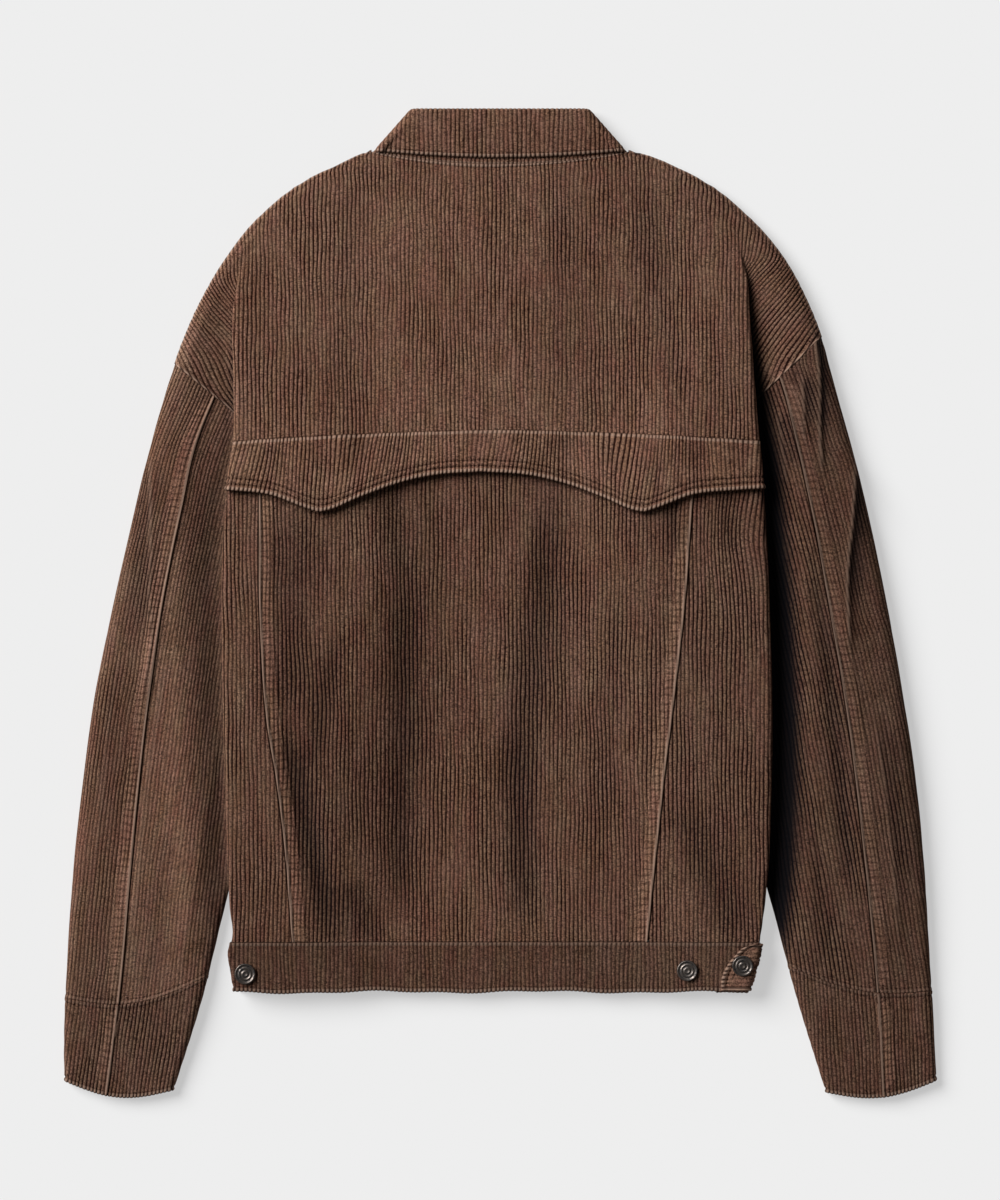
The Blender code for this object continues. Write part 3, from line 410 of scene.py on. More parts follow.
# The same as shares of a sleeve's, a cuff's and a tab's length.
SLEEVE_ROW, BESIDE_SLEEVE_SEAM = 0.0083, (0.0015, 0.0035, 0.006)
CUFF_ROW, BESIDE_CUFF_SEAM = 0.043, (0.01, 0.02, 0.03, 0.045)
BESIDE_CUFF_END = (0.006, 0.014, 0.03, 0.05, 0.07)
TAB_ROW, BESIDE_TAB_TIP = 0.05, (0.01, 0.02, 0.035, 0.06, 0.09, 0.12)
# Samples along the collar, and rows over its roll, down its fall and up its stand.
COLLAR_SAMPLES, ROLL_COUNT, FALL_COUNT, STAND_COUNT = 601, 13, 17, 12

# Ways of sewing an edge, as the numbers that the finish reads, and where their rows of stitches run.
KINDS = {"felled": 1.0, "edge": 2.0, "band": 3.0, "double": 4.0, "cord": 5.0, "seam": 6.0, "plain": 0.0}
FELL_WIDTH, FELL_RISE, FELL_ROWS = 11.0, 0.8, (3.0, 9.0)
EDGE_ROWS, BAND_ROW = (4.8, 9.4), 3.2
DOUBLE_ROW, CORD_ROW, CORD_WIDTH = 3.4, 6.0, 2.4
SCALLOP, SCALLOP_REACH = 0.55, 1.7
# Lengths of a stitch and of the pinch between two ladders of a felled seam, both halved.
STITCH, RUNG = 1.5, 2.9

# Finishes of the cloth: how light the pile is, and how dark the painted shade in its valleys. The two
# darkest copies are painted shade on the right sleeve and its cuff; the waistband takes the darkest too.
FINISHES = {
    "faded corduroy": (1.0, 0.88),
    "rubbed corduroy": (0.97, 0.34),
    "darker rubbed corduroy": (0.86, 0.76),
    "brown corduroy": (0.84, 0.94),
    "deep brown corduroy": (0.67, 0.8),
    "dark corduroy": (0.58, 0.66),
}
# Linear colours of the pile on a ridge, where it is worn and on a bead, and of the painted shade in a
# valley, which the stitches and seam ends also take.
PILE_COLOURS = {
    "Ridge": (0.16, 0.0735, 0.0465),
    "Worn": (0.24, 0.146, 0.102),
    "Bead": (0.38, 0.25, 0.185),
    "Valley": (0.012, 0.003, 0.0015),
}
# Colour of the painted shade in the gaps, folds, creases and broad patches.
PAINTED_SHADE_COLOUR = (0.0022, 0.0025, 0.0036)
CLOTH_SHADER = {
    "Roughness": 0.94,
    "Specular IOR Level": 0.04,
    "Sheen Weight": 0.06,
    "Sheen Roughness": 0.45,
    "Sheen Tint": (0.6, 0.36, 0.25, 1.0),
}
BRASS, TARNISH = (0.125, 0.105, 0.092), (0.035, 0.033, 0.033)
# How much lighter a felled strip and a sewn edge's bead are, and how much darker its stitches and its end.
STRIP_LIGHT = 0.5
BEAD_LIGHT = {"felled": 0.7, "edge": 0.82, "band": 0.72, "double": 0.2, "cord": 0.8, "seam": 0.6}
ROW_SHADE = {"felled": 0.34, "edge": 0.9, "band": 0.5, "double": 0.5, "cord": 0.5}
END_SHADE = {"felled": 0.0, "edge": 0.3, "band": 0.3, "double": 0.1, "cord": 0.2, "seam": 0.1, "plain": 0.5}

WHITE = (1.0, 1.0, 1.0, 1.0)
# Light, floor and camera, in degrees and metres.
KEY, KEY_SOFTNESS, KEY_TURN, KEY_LIFT, FILL = 4.9, 38.0, 147.0, 37.0, 0.12
FLOOR_HALF, FLOOR_DROP, FLOOR_TONE, FLOOR_GLOW = 3.0, 0.0004, 0.335, 0.5
CAMERA_HEIGHT, FRAME_HEIGHT, FRAME_MIDDLE, SENSOR = 4.0, 0.96, (0.0, 0.002), 36.0


def smooth_step(value):
    value = np.clip(value, 0.0, 1.0)
    return value * value * (3.0 - 2.0 * value)


def mix(first, second, share):
    return first + (second - first) * share


def curve_through(stations, values):
    """A smooth curve through the values, level beyond both ends."""
    stations = np.asarray(stations, float)
    values = np.asarray(values, float)
    slopes = np.gradient(values, stations)

    def at(place):
        place = np.clip(place, stations[0], stations[-1])
        i = np.clip(np.searchsorted(stations, place) - 1, 0, len(stations) - 2)
        span = stations[i + 1] - stations[i]
        u = (place - stations[i]) / span
        start = (1 + 2 * u) * (1 - u) ** 2 * values[i] + u * (1 - u) ** 2 * span * slopes[i]
        end = u * u * (3 - 2 * u) * values[i + 1] - u * u * (1 - u) * span * slopes[i + 1]
        return start + end

    return at


def two_sided(table):
    """One curve of width against height for each side of the jacket."""
    heights, left, right = zip(*table)
    return {LEFT: curve_through(heights, left), RIGHT: curve_through(heights, right)}


OUTER = two_sided(OUTER_EDGE)
BACK_EDGE = two_sided(BACK_FOLD_EDGE)
DEPTH = two_sided(FOLD_DEPTH)
SHARE = two_sided(FOLD_SHARE)
EDGE_TOP = two_sided(EDGE_HEIGHT)
MIDDLE_TOP = two_sided(MIDDLE_HEIGHT)
CROWN = two_sided(SLEEVE_CROWN)
INNER = two_sided(SLEEVE_INNER)
BACK_SEAM = two_sided(SLEEVE_SEAM)
SIDE_BACK = two_sided(SIDE_BACK_SEAM)
DARK_TO = two_sided(GAP_DARK)
CLEAR_FROM = two_sided(GAP_CLEAR)
FLAP_LOW = curve_through(*zip(*FLAP_EDGE))
TAB_TIP_AT = curve_through(*zip(*TAB_TIP))


def fold_at(side, line, x, y):
    """Distance out from a sleeve's fold, and how much of the fold is left at each height."""
    heights, outs = np.array(line[::-1]).T
    end = FOLD_FADE * (heights[-1] - heights[0])
    left = smooth_step((y - heights[0]) / end + 0.5) * smooth_step((heights[-1] - y) / end + 0.5)
    return side * x - curve_through(heights, outs)(y), left


def crease_depth(x, y):
    """Sum of the creases at a point of the back."""
    depth = 0.0
    for top_x, top_y, low_x, low_y, half_width, most in CREASES:
        along = (top_y - y) / (top_y - low_y)
        middle = mix(top_x, low_x, np.clip(along, 0.0, 1.0))
        fade = smooth_step(along / CREASE_FADE + 0.5) * smooth_step((1.0 - along) / CREASE_FADE + 0.5)
        depth = depth + most * fade * np.exp(-(((x - middle) / half_width) ** 2))
    return depth


def back_height(side, out, y):
    """Middle of the back's wall, over its middle and up to its fold edge."""
    full = BACK_EDGE[side](y) - np.maximum(DEPTH[side](y), 0.0) + RISE_PAST_SEAM
    rise = smooth_step(1.0 - (full - out) / RISE_WIDTH)
    return mix(MIDDLE_TOP[side](y), EDGE_TOP[side](y), rise) - crease_depth(side * out, y)


def front_height(side, out, y, under=False):
    """Middle of the front's wall: on the table, but for its lap, its buttons and the collar below it."""
    centre = smooth_step((LIFT_TO - abs(out)) / (LIFT_TO - LIFT_FROM))
    inside = smooth_step((COLLAR_LIFT_OUT - out) / COLLAR_LIFT_RAMP)
    collar = COLLAR_LIFT * inside * smooth_step((y - COLLAR_LIFT_LOW) / COLLAR_LIFT_RAMP)
    step = LAP_STEP if y > WAIST_SEAM - SEAM_GAP / 2.0 else BAND_LAP_STEP
    return FRONT_LEVEL + np.maximum(BUTTON_LIFT * centre, collar) + (step * centre if under else 0.0)


def sleeve_high(side, out, y):
    """Middle of the upper wall of a sleeve: pressed under the body, low beside it, crowned further out."""
    beyond = out - BACK_EDGE[side](y)
    free = mix(SLEEVE_BESIDE_BODY, CROWN[side](y), smooth_step(beyond / SLEEVE_RISE))
    return mix(SLEEVE_HIGH_LEVEL, free, smooth_step(0.5 + beyond / SLEEVE_STEP))


def sleeve_low(side, out, y):
    """Middle of the lower wall of a sleeve: on the front's turned-in layer, then on the table."""
    beyond = out - BACK_EDGE[side](y)
    return mix(SLEEVE_LOW_LEVEL, FRONT_LEVEL, smooth_step(0.5 + beyond / SLEEVE_STEP))


def edge_roundness(side, y):
    """How steeply the outer edge runs: 1 where it is upright, less over the shoulder."""
    slope = (OUTER[side](y + 1.0) - OUTER[side](y - 1.0)) / 2.0
    return 1.0 / math.sqrt(1.0 + slope * slope)


@functools.lru_cache(maxsize=None)
def armhole_points(side):
    """The armhole seam, from the armpit to the tip on the outer edge."""
    tip, share = TIP_HEIGHT[side], np.linspace(0.0, 1.0, 41)
    out = mix(ARMPIT_OUT, OUTER[side](tip), share)
    y = mix(ARMPIT_HEIGHT[side], tip, share) - ARMHOLE_SAG[side] * np.sin(math.pi * share)
    return out, np.maximum.accumulate(y)


def armhole_out(side, y):
    out, heights = armhole_points(side)
    return float(np.interp(y, heights, out))


def arc_points(centre, radius, start, end, count):
    angles = np.linspace(start, end, count)
    return np.stack([centre[0] + radius * np.cos(angles), centre[1] + radius * np.sin(angles)], 1)


def body_section(side, y, is_back, under=False):
    """Cross-section of the back or the front at one height: points (out, up) from the centre line to the
    outer edge, the length at each, and the lengths of the six stretches: main, fold, turned in, pocket,
    arm, rim.
    """
    up = 1.0 if is_back else -1.0
    edge = BACK_EDGE[side](y) - (0.0 if is_back else FRONT_FOLD_INSET)
    depth = DEPTH[side](y) - (0.0 if is_back else FRONT_FOLD_INSET)
    share = SHARE[side](y)

    def main(out):
        return back_height(side, out, y) if is_back else front_height(side, out, y, under)

    def arm(out):
        level = sleeve_high(side, out, y) if is_back else sleeve_low(side, out, y)
        return mix(main(out), level, share)

    top = main(edge)
    step = max(up * (top - arm(edge - depth)), LEAST_STEP)
    roll, pocket = ROLL_SHARE * step, POCKET_SHARE * step
    start = -2.0 * LAP
    main_out = np.linspace(start, edge - roll, MAIN_COUNT)
    stretches = [np.stack([main_out, up * main(main_out)], 1)]
    centre_1 = np.array([edge - roll, up * top - roll])
    if y < ARMPIT_HEIGHT[side]:
        stretches.append(arc_points(centre_1, roll, math.pi / 2, -math.pi / 2, ROLL_ARC))
        inward = up * top - 2.0 * roll
        front_inward = mix(FRONT_LEVEL, SLEEVE_LOW_LEVEL, 2.0 * ROLL_SHARE)
        back_inward = mix(EDGE_TOP[side](y), SLEEVE_HIGH_LEVEL, 2.0 * ROLL_SHARE)
        closed = up * (back_inward + front_inward) / 2.0 + SEAM_HALF_GAP
        below = (ARMPIT_HEIGHT[side] - SEAM_CLOSING_TOP - y) / SEAM_CLOSING_RAMP
        above = (y - SEAM_CLOSING_LOW) / SEAM_CLOSING_RAMP
        closed = mix(inward, closed, smooth_step(below) * smooth_step(above))
        line_out = np.linspace(edge - roll, edge - depth, TURNED_COUNT)
        closing = smooth_step((SEAM_CLOSING - (line_out - line_out[-1])) / SEAM_CLOSING)
        stretches.append(np.stack([line_out, mix(inward, closed, closing)], 1))
        stretches += [stretches[-1][-1:]] * 3
    else:
        centre_2 = np.array([edge - depth + pocket, up * arm(edge - depth) + pocket])
        apart = centre_2 - centre_1
        away = math.hypot(*apart)
        exit_angle = math.atan2(apart[1], apart[0]) + math.acos(min(1.0, (roll + pocket) / away))
        exit_angle = (exit_angle + math.pi) % (2.0 * math.pi) - math.pi
        if exit_angle > math.pi / 2:
            exit_angle -= 2.0 * math.pi
        stretches.append(arc_points(centre_1, roll, math.pi / 2, exit_angle, ROLL_ARC))
        pocket_arc = arc_points(centre_2, pocket, exit_angle + math.pi, 1.5 * math.pi, POCKET_ARC)
        stretches.append(np.linspace(stretches[-1][-1], pocket_arc[0], BETWEEN_COUNT))
        stretches.append(pocket_arc)
        outer = OUTER[side](y)
        at_rim = y >= TIP_HEIGHT[side]
        end = outer if at_rim else armhole_out(side, y)
        other = sleeve_low(side, outer, y) if is_back else sleeve_high(side, outer, y)
        plain = front_height(side, outer, y) if is_back else back_height(side, outer, y)
        half = abs(arm(outer) - mix(plain, other, share)) / 2.0
        middle = up * arm(outer) - half
        reach = RIM_ROUND * half / edge_roundness(side, y)
        arm_start = edge - depth + pocket
        reach = min(reach, RIM_MOST * (outer - arm_start))
        arm_end = min(end, outer - reach)
        arm_out = np.linspace(arm_start, arm_end, ARM_COUNT)
        stretches.append(np.stack([arm_out, up * arm(arm_out)], 1))
        last_turn = math.asin(np.clip((end - (outer - reach)) / reach, 0.0, 1.0))
        turns = np.linspace(0.0, last_turn, RIM_COUNT)
        rim = np.stack([outer - reach + reach * np.sin(turns), middle + half * np.cos(turns)], 1)
        if turns[-1] <= 0.0:
            rim = stretches[-1][-1:]
        if at_rim:
            rim[:, 1] = mix(middle + EDGE_DROP, up * arm(outer), np.cos(turns))
            rim = np.vstack([rim, [outer, middle + EDGE_HALF_GAP]])
        stretches.append(rim)
    points = np.vstack(stretches)
    reached = start + np.concatenate([[0.0], np.cumsum(np.linalg.norm(np.diff(points, axis=0), axis=1))])
    ends = reached[np.cumsum([len(stretch) for stretch in stretches]) - 1]
    points[:, 1] *= up
    return points, reached, ends


@functools.lru_cache(maxsize=None)
def body_table(side, is_back, under=False):
    """The body's sections as a table of heights by lengths of cloth, with the end of each stretch."""
    breaks = ARMPIT_HEIGHT[side], WAIST_SEAM - SEAM_GAP / 2.0, TIP_HEIGHT[side]
    levels = [place + off for place in breaks for off in (-0.02, 0.02)]
    levels = np.unique(np.concatenate([np.arange(HEM - LEVEL_STEP, LEVEL_TOP, LEVEL_STEP), levels]))
    places = np.arange(-2.0 * LAP, CLOTH_MOST, CLOTH_STEP)
    sheets, ends = [], []
    for level in levels:
        points, reached, section_ends = body_section(side, float(level), is_back, under)
        sheets.append(np.stack([np.interp(places, reached, points[:, i]) for i in (0, 1)], 1))
        ends.append(section_ends)
    return levels, np.array(sheets), np.array(ends)


def on_body(side, cloth, y, is_back=True, under=False):
    """Points of the body's cloth that lie this far from the centre line at these heights."""
    levels, sheets, _ = body_table(side, is_back, under)
    i = np.clip(np.searchsorted(levels, y) - 1, 0, len(levels) - 2)
    t = np.clip((y - levels[i]) / (levels[i + 1] - levels[i]), 0.0, 1.0)[..., None]
    place = np.clip((cloth + 2.0 * LAP) / CLOTH_STEP, 0.0, sheets.shape[1] - 1.001)
    j = place.astype(int)
    s = (place - j)[..., None]
    low = mix(sheets[i, j], sheets[i, j + 1], s)
    high = mix(sheets[i + 1, j], sheets[i + 1, j + 1], s)
    found = mix(low, high, t)
    return np.stack([side * found[..., 0], y + 0.0 * found[..., 0], found[..., 1]], -1)


def across_back(across, y):
    """Points of the back. A place left of the centre line is less than nothing."""
    left, right = on_body(LEFT, -across, y), on_body(RIGHT, across, y)
    return np.where((across < 0.0)[..., None], left, right)


def cloth_to(side, y, stretch, is_back=True):
    """Length of cloth from the centre line to the end of a stretch, the last one being the panel's seam."""
    levels, _, ends = body_table(side, is_back)
    return np.interp(y, levels, ends[:, stretch])


def yoke_seam(x):
    return YOKE_SEAM_TOP - YOKE_SEAM_DROP * np.minimum(np.abs(x) / YOKE_SEAM_SPAN, 1.0) ** 1.5


def neck_seam(x):
    return NECK_LOW + NECK_RISE * (np.minimum(np.abs(x), NECK_HALF) / NECK_HALF) ** 2.2


def panel_sink(side, cloth, y):
    """The back panels pass under the flap, so they lie lower there, up to the flap's turned-in end."""
    edge = cloth_to(side, y, 1)
    covered = smooth_step((edge + PANEL_SINK_END - cloth) / (PANEL_SINK_END - FLAP_TURN_IN))
    return -PANEL_SINK * covered * smooth_step((y - PANEL_SINK_FROM) / (PANEL_SINK_FULL - PANEL_SINK_FROM))


# ---------------------------------------------------------------- making cloth from rows of points


def pick(values, place):
    """Values of a row at fractions of its samples."""
    i = np.clip(place.astype(int), 0, len(values) - 2)
    share = place - i
    if values.ndim > 1:
        share = share[:, None]
    return mix(values[i], values[i + 1], share)


def ridge_at(place):
    """1 on a ridge and 0 in a valley, at a place counted in wales. Ridges are round and valleys narrow."""
    return np.abs(np.sin(math.pi * place)) ** RIDGE_FULLNESS


def bump_at(distance, middle, half_width):
    return np.exp(-(((distance - middle) / half_width) ** 2))


def sewn_height(kind, distance):
    """Rise of the cloth beside a sewn edge."""
    if kind == "felled":
        strip = FELL_RISE * smooth_step((FELL_WIDTH + 0.5 - distance) / 1.0)
        rows = bump_at(distance, FELL_ROWS[0], 0.6) + bump_at(distance, FELL_ROWS[1], 0.6)
        return strip + 0.7 * bump_at(distance, 0.8, 0.8) - 0.4 * rows
    if kind == "edge":
        rows = bump_at(distance, EDGE_ROWS[0], 0.8) + bump_at(distance, EDGE_ROWS[1], 0.8)
        bead = 0.8 * bump_at(distance, 1.6, 1.4)
        return 0.3 + bead - 1.1 * rows - 1.0 * smooth_step(1.0 - distance / 0.9) ** 2
    if kind == "band":
        row = 0.8 * bump_at(distance, BAND_ROW, 0.7)
        return 0.5 * bump_at(distance, 1.4, 1.0) - row - 0.35 * smooth_step(1.0 - distance / 0.7)
    if kind == "double":
        return 0.3 * bump_at(distance, 0.0, 2.6) - 0.5 * bump_at(distance, DOUBLE_ROW, 0.7)
    if kind == "cord":
        return 1.1 * bump_at(distance, 1.5, 1.3) - 0.6 * bump_at(distance, CORD_ROW, 0.8)
    if kind == "seam":
        return 0.5 * bump_at(distance, 1.3, 1.1) - 0.2 * smooth_step(1.0 - distance / 0.6)
    return -0.3 * smooth_step(1.0 - distance / 0.9)


def wander(number, along, seed):
    """How far a wale strays sideways, in wales: with its neighbours, and a little on its own."""
    own = np.mod(np.sin(number * 12.9898 + 78.2 * seed) * 437.585, 1.0)
    shared = np.sin(along / 38.0 + number / 5.0 + 9.0 * seed) + 0.5 * np.sin(along / 12.0 + number / 3.0)
    return WANDER * shared + WANDER_OWN * np.sin(along / 9.0 + 6.28 * own)


def shade_at(points, lift):
    """Share of painted shade: in the gaps beside the folds, in creases, in patches and to the right."""
    x, y, z = np.moveaxis(points, -1, 0)
    # Painted shade that grows towards the right, away from the light.
    clear = 1.0 - FADE_SHADE * smooth_step((x - FADE_FROM) / FADE_OVER)
    # Painted shadow in the gap beside each side fold.
    for side in SIDES:
        out = side * x
        beyond = out - BACK_EDGE[side](y)
        dark, until = DARK_TO[side](y), CLEAR_FROM[side](y)
        inside = smooth_step((until - beyond) / (until - dark)) * (beyond > -6.0)
        below = smooth_step((EDGE_TOP[side](y) - z - 2.0) / 4.0)
        clear = clear * (1.0 - GAP_SHADE[side] * inside * below)
        # Painted shadow beyond each sharp sleeve fold, and over each hollow.
        for own, line, inner, outer, rise, dark in SLEEVE_FOLDS:
            if own != side:
                continue
            off, left = fold_at(side, line, x, y)
            spread = np.exp(-((off / inner) ** 2))
            if rise > 0.0:
                high, low = line[0][0], line[-1][0]
                left = left * smooth_step(((y - low) / (high - low) - 0.12) / 0.3)
                spread = smooth_step(off / 1.2) * np.exp(-((off / (4.2 * outer)) ** 2)) * (off > 0.0)
            clear = clear * (1.0 - dark * left * spread * (beyond > 0.0))
    # Painted shade in the back's creases.
    creased = np.clip(CREASE_SHADE * crease_depth(x, y), 0.0, CREASE_SHADE_MOST)
    on_back = (z > 8.0) & (np.abs(x) < BACK_EDGE[RIGHT](y))
    clear = clear * (1.0 - creased * on_back)
    # Broad patches of painted shade.
    for *place, dark in SOFT_SHADES:
        clear = clear * (1.0 - dark * patch_at(x, y, *place))
    return (1.0 - clear) * smooth_step(2.0 * lift)


def painted_fold_highlight_at(points, lift):
    """Share of painted highlight along the ridges of the sharp folds."""
    x, y, _ = np.moveaxis(points, -1, 0)
    most = np.zeros(len(x))
    for side in SIDES:
        for own, line, _, _, rise, dark in SLEEVE_FOLDS:
            if own != side or rise <= 0.0:
                continue
            off, left = fold_at(side, line, x, y)
            here = side * x > BACK_EDGE[side](y)
            ridge = bump_at(off, HIGHLIGHT_MIDDLE, HIGHLIGHT_HALF)
            most = np.maximum(most, min(1.3 * dark, 0.8) * left * ridge * here)
    return most * smooth_step(2.0 * lift)


def make_cloth(
    name, points, across, sewn, thickness=CLOTH, flip=False, grain=None, columns_per_wale=4, middle_seam=False
):
    """A cut piece of corduroy.

    Points are rows of samples on the middle of the wall, bottom row first, and across is the length of
    cloth at each. Sewn names what is done to its first and last edge and its bottom and top row. Grain
    gives where the wales lie, as a length across them, if they don't run straight up the cloth. A middle
    seam is felled and runs where across is 0, with its strip where across is less.
    """
    along_rows = np.gradient(points, axis=1)
    up_rows = np.gradient(points, axis=0)
    normals = np.cross(along_rows, up_rows)
    lengths = np.linalg.norm(normals, axis=2, keepdims=True)
    normals = normals / np.maximum(lengths, 1e-9) * (-1.0 if flip else 1.0)
    steps = np.linalg.norm(np.diff(points, axis=0), axis=2)
    from_bottom = np.vstack([np.zeros(points.shape[1]), np.cumsum(steps, axis=0)])
    distances = (across - across[:, :1], across[:, -1:] - across, from_bottom, from_bottom[-1] - from_bottom)
    runs = (from_bottom, from_bottom, across, across)
    grain = (across if grain is None else grain(across, points)) / WALE

    first, last = grain[:, 0].min(), grain[:, -1].max()
    numbers = np.arange(math.floor(first), math.ceil(last) + 1)
    columns = (numbers[:, None] + np.array(WALE_COLUMNS[columns_per_wale])).ravel()
    columns = np.concatenate([[first], columns[(columns > first) & (columns < last)], [last]])
    rows, count = points.shape[:2]
    grid_columns = len(columns) + 2 * len(FINE_EDGE)

    shape = bmesh.new()
    bmesh.ops.create_grid(shape, x_segments=grid_columns - 1, y_segments=rows - 1, size=0.5)
    mesh = bpy.data.meshes.new(name)
    shape.to_mesh(mesh)
    shape.free()
    corners = np.empty(len(mesh.vertices) * 3)
    mesh.vertices.foreach_get("co", corners)
    corners = corners.reshape(-1, 3)
    column = np.rint((corners[:, 0] + 0.5) * (grid_columns - 1)).astype(int)
    row = np.rint((corners[:, 1] + 0.5) * (rows - 1)).astype(int)

    placed = np.empty((rows, grid_columns, 3))
    cloth = np.empty((rows, grid_columns, 3))
    seams = np.empty((rows, grid_columns, 3))
    shade, rubbed_and_painted_highlight = np.empty((rows, grid_columns)), np.empty((rows, grid_columns))
    seed = (sum(map(ord, name)) * 7919 % 997) / 997.0
    for r in range(rows):
        line = grain[r]
        width = line[-1] - line[0]
        side_step = np.minimum(np.array(FINE_EDGE) / WALE, 0.2 * width)
        low, high = line[0] + side_step, line[-1] - side_step
        middle = np.clip(columns, low[-1], high[-1])
        at = np.concatenate([line[0] + np.concatenate([[0.0], side_step[:-1]]), middle])
        at = np.concatenate([at, (line[-1] - np.concatenate([[0.0], side_step[:-1]]))[::-1]])
        index = np.interp(at, line, np.arange(count))
        fade = smooth_step(np.minimum(at - line[0], line[-1] - at) * WALE / WANDER_FADE)
        along = pick(from_bottom[r], index)
        stray = mix(wander(np.floor(at), along, seed), wander(np.floor(at) + 1.0, along, seed), at % 1.0)
        index = np.interp(at + fade * stray, line, np.arange(count))
        rise = -RIDGE * (1.0 - ridge_at(at))
        nearest = np.full(grid_columns, 1e3)
        run, kind_here = np.zeros(grid_columns), np.zeros(grid_columns)
        for kind, distance, stretch in zip(sewn, distances, runs):
            if kind is None:
                continue
            here = pick(distance[r], index)
            if kind == "cord":
                rise = rise * smooth_step((here - CORD_WIDTH) / 1.5)
            rise = rise + sewn_height(kind, here)
            closer = here < nearest
            nearest = np.where(closer, here, nearest)
            run = np.where(closer, pick(stretch[r], index), run)
            kind_here = np.where(closer, KINDS[kind], kind_here)
        if middle_seam:
            here = pick(-across[r], index)
            on_strip = here >= 0.0
            rise = rise + np.where(on_strip, sewn_height("felled", here), sewn_height("plain", -here))
            closer = np.abs(here) < nearest
            nearest = np.where(closer, np.abs(here), nearest)
            run = np.where(closer, along, run)
            own_kind = np.where(on_strip, KINDS["felled"], KINDS["plain"])
            kind_here = np.where(closer, own_kind, kind_here)
        facing, along_here = pick(normals[r], index), pick(from_bottom[r], index)
        placed[r] = pick(points[r], index) + facing * (thickness / 2.0 + rise)[:, None]
        if sewn[2] in ("edge", "band"):
            out = SCALLOP * ridge_at(at) * np.exp(-((along_here / SCALLOP_REACH) ** 2))
            up = pick(up_rows[r], index)
            placed[r] -= up / np.maximum(np.linalg.norm(up, axis=1, keepdims=True), 1e-9) * out[:, None]
        cloth[r] = np.stack([at, along_here, np.full(grid_columns, seed)], 1)
        seams[r] = np.stack([nearest, run, kind_here], 1)
        # Painted shade and painted highlight of each point.
        shade[r] = shade_at(placed[r], facing[:, 2])
        rubbed_and_painted_highlight[r] = painted_fold_highlight_at(placed[r], facing[:, 2])
    placed[..., 2] = np.maximum(placed[..., 2], 0.0)
    mesh.vertices.foreach_set("co", (placed[row, column] * MM).ravel())
    for kind, values in (("shade", shade), ("rubbed_and_painted_highlight", rubbed_and_painted_highlight)):
        layer = mesh.attributes.new(kind, "FLOAT", "POINT")
        layer.data.foreach_set("value", values[row, column].astype(np.float32))
    for kind, values in (("cloth", cloth), ("sewn", seams)):
        layer = mesh.attributes.new(kind, "FLOAT_VECTOR", "POINT")
        layer.data.foreach_set("vector", values[row, column].ravel().astype(np.float32))

    shape = bmesh.new()
    shape.from_mesh(mesh)
    bmesh.ops.remove_doubles(shape, verts=shape.verts, dist=0.02 * MM)
    if flip:
        bmesh.ops.reverse_faces(shape, faces=shape.faces)
    shape.to_mesh(mesh)
    shape.free()
    mesh.shade_smooth()
    piece = bpy.data.objects.new(name, mesh)
    bpy.context.scene.collection.objects.link(piece)
    rim = piece.modifiers.new("edge of the cloth", "SOLIDIFY")
    rim.thickness = thickness * MM
    rim.offset = -1.0
    rim.use_rim_only = True
    widths = across[:, -1] - across[:, 0]
    gaps = np.diff(across, axis=1)
    cells = (steps[:, 1:] + steps[:, :-1]) / 2.0 * (gaps[1:] + gaps[:-1]) / 2.0
    return piece, (widths.max(), from_bottom[-1].max()), cells.sum()


def sew(node, rows, sewn, rests_on, finish, held="folded", **cloth):
    """Makes a node's cloth from rows of (points, across), gives it its finish and works out its cut."""
    points, across = (np.array(part) for part in zip(*rows))
    piece, cut, area = make_cloth(f"{node}_cloth", points, across, sewn, **cloth)
    piece.data.materials.append(finish)
    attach(piece, "root")
    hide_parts(node)
    width, length = (max(size * MM, LEAST_CUT) for size in cut)
    area = min(max(area * MM * MM, LEAST_FILL * width * length), width * length)


def spaced(start, end, step, near_start=(), near_end=()):
    """Places from start to end about a step apart, closer near a sewn end."""
    low = [start + place for place in (0.0, *near_start)]
    high = [end - place for place in (0.0, *near_end)][::-1]
    count = max(int(round((high[0] - low[-1]) / step)), 1)
    return np.array(low[:-1] + list(np.linspace(low[-1], high[0], count + 1)) + high[1:])


def shoulder_grain(across, points):
    """Where the wales lie on the yoke. Past the fold they run aslant, so a row crosses fewer of them."""
    out, y = np.abs(across), points[..., 1]
    bend = np.where(across < 0.0, cloth_to(LEFT, y, 3), cloth_to(RIGHT, y, 3))
    share = np.where(across < 0.0, SHARE[LEFT](y), SHARE[RIGHT](y))
    past = np.maximum(out - bend, 0.0)
    slanted = np.where(across < 0.0, SLANTED[LEFT], SLANTED[RIGHT])
    turned = SHOULDER_TURN * share * smooth_step((out - bend + TURN_BEFORE) / TURN_OVER) * (y - TURN_MIDDLE)
    return np.sign(across) * (out - (1.0 - slanted) * share * past + turned)


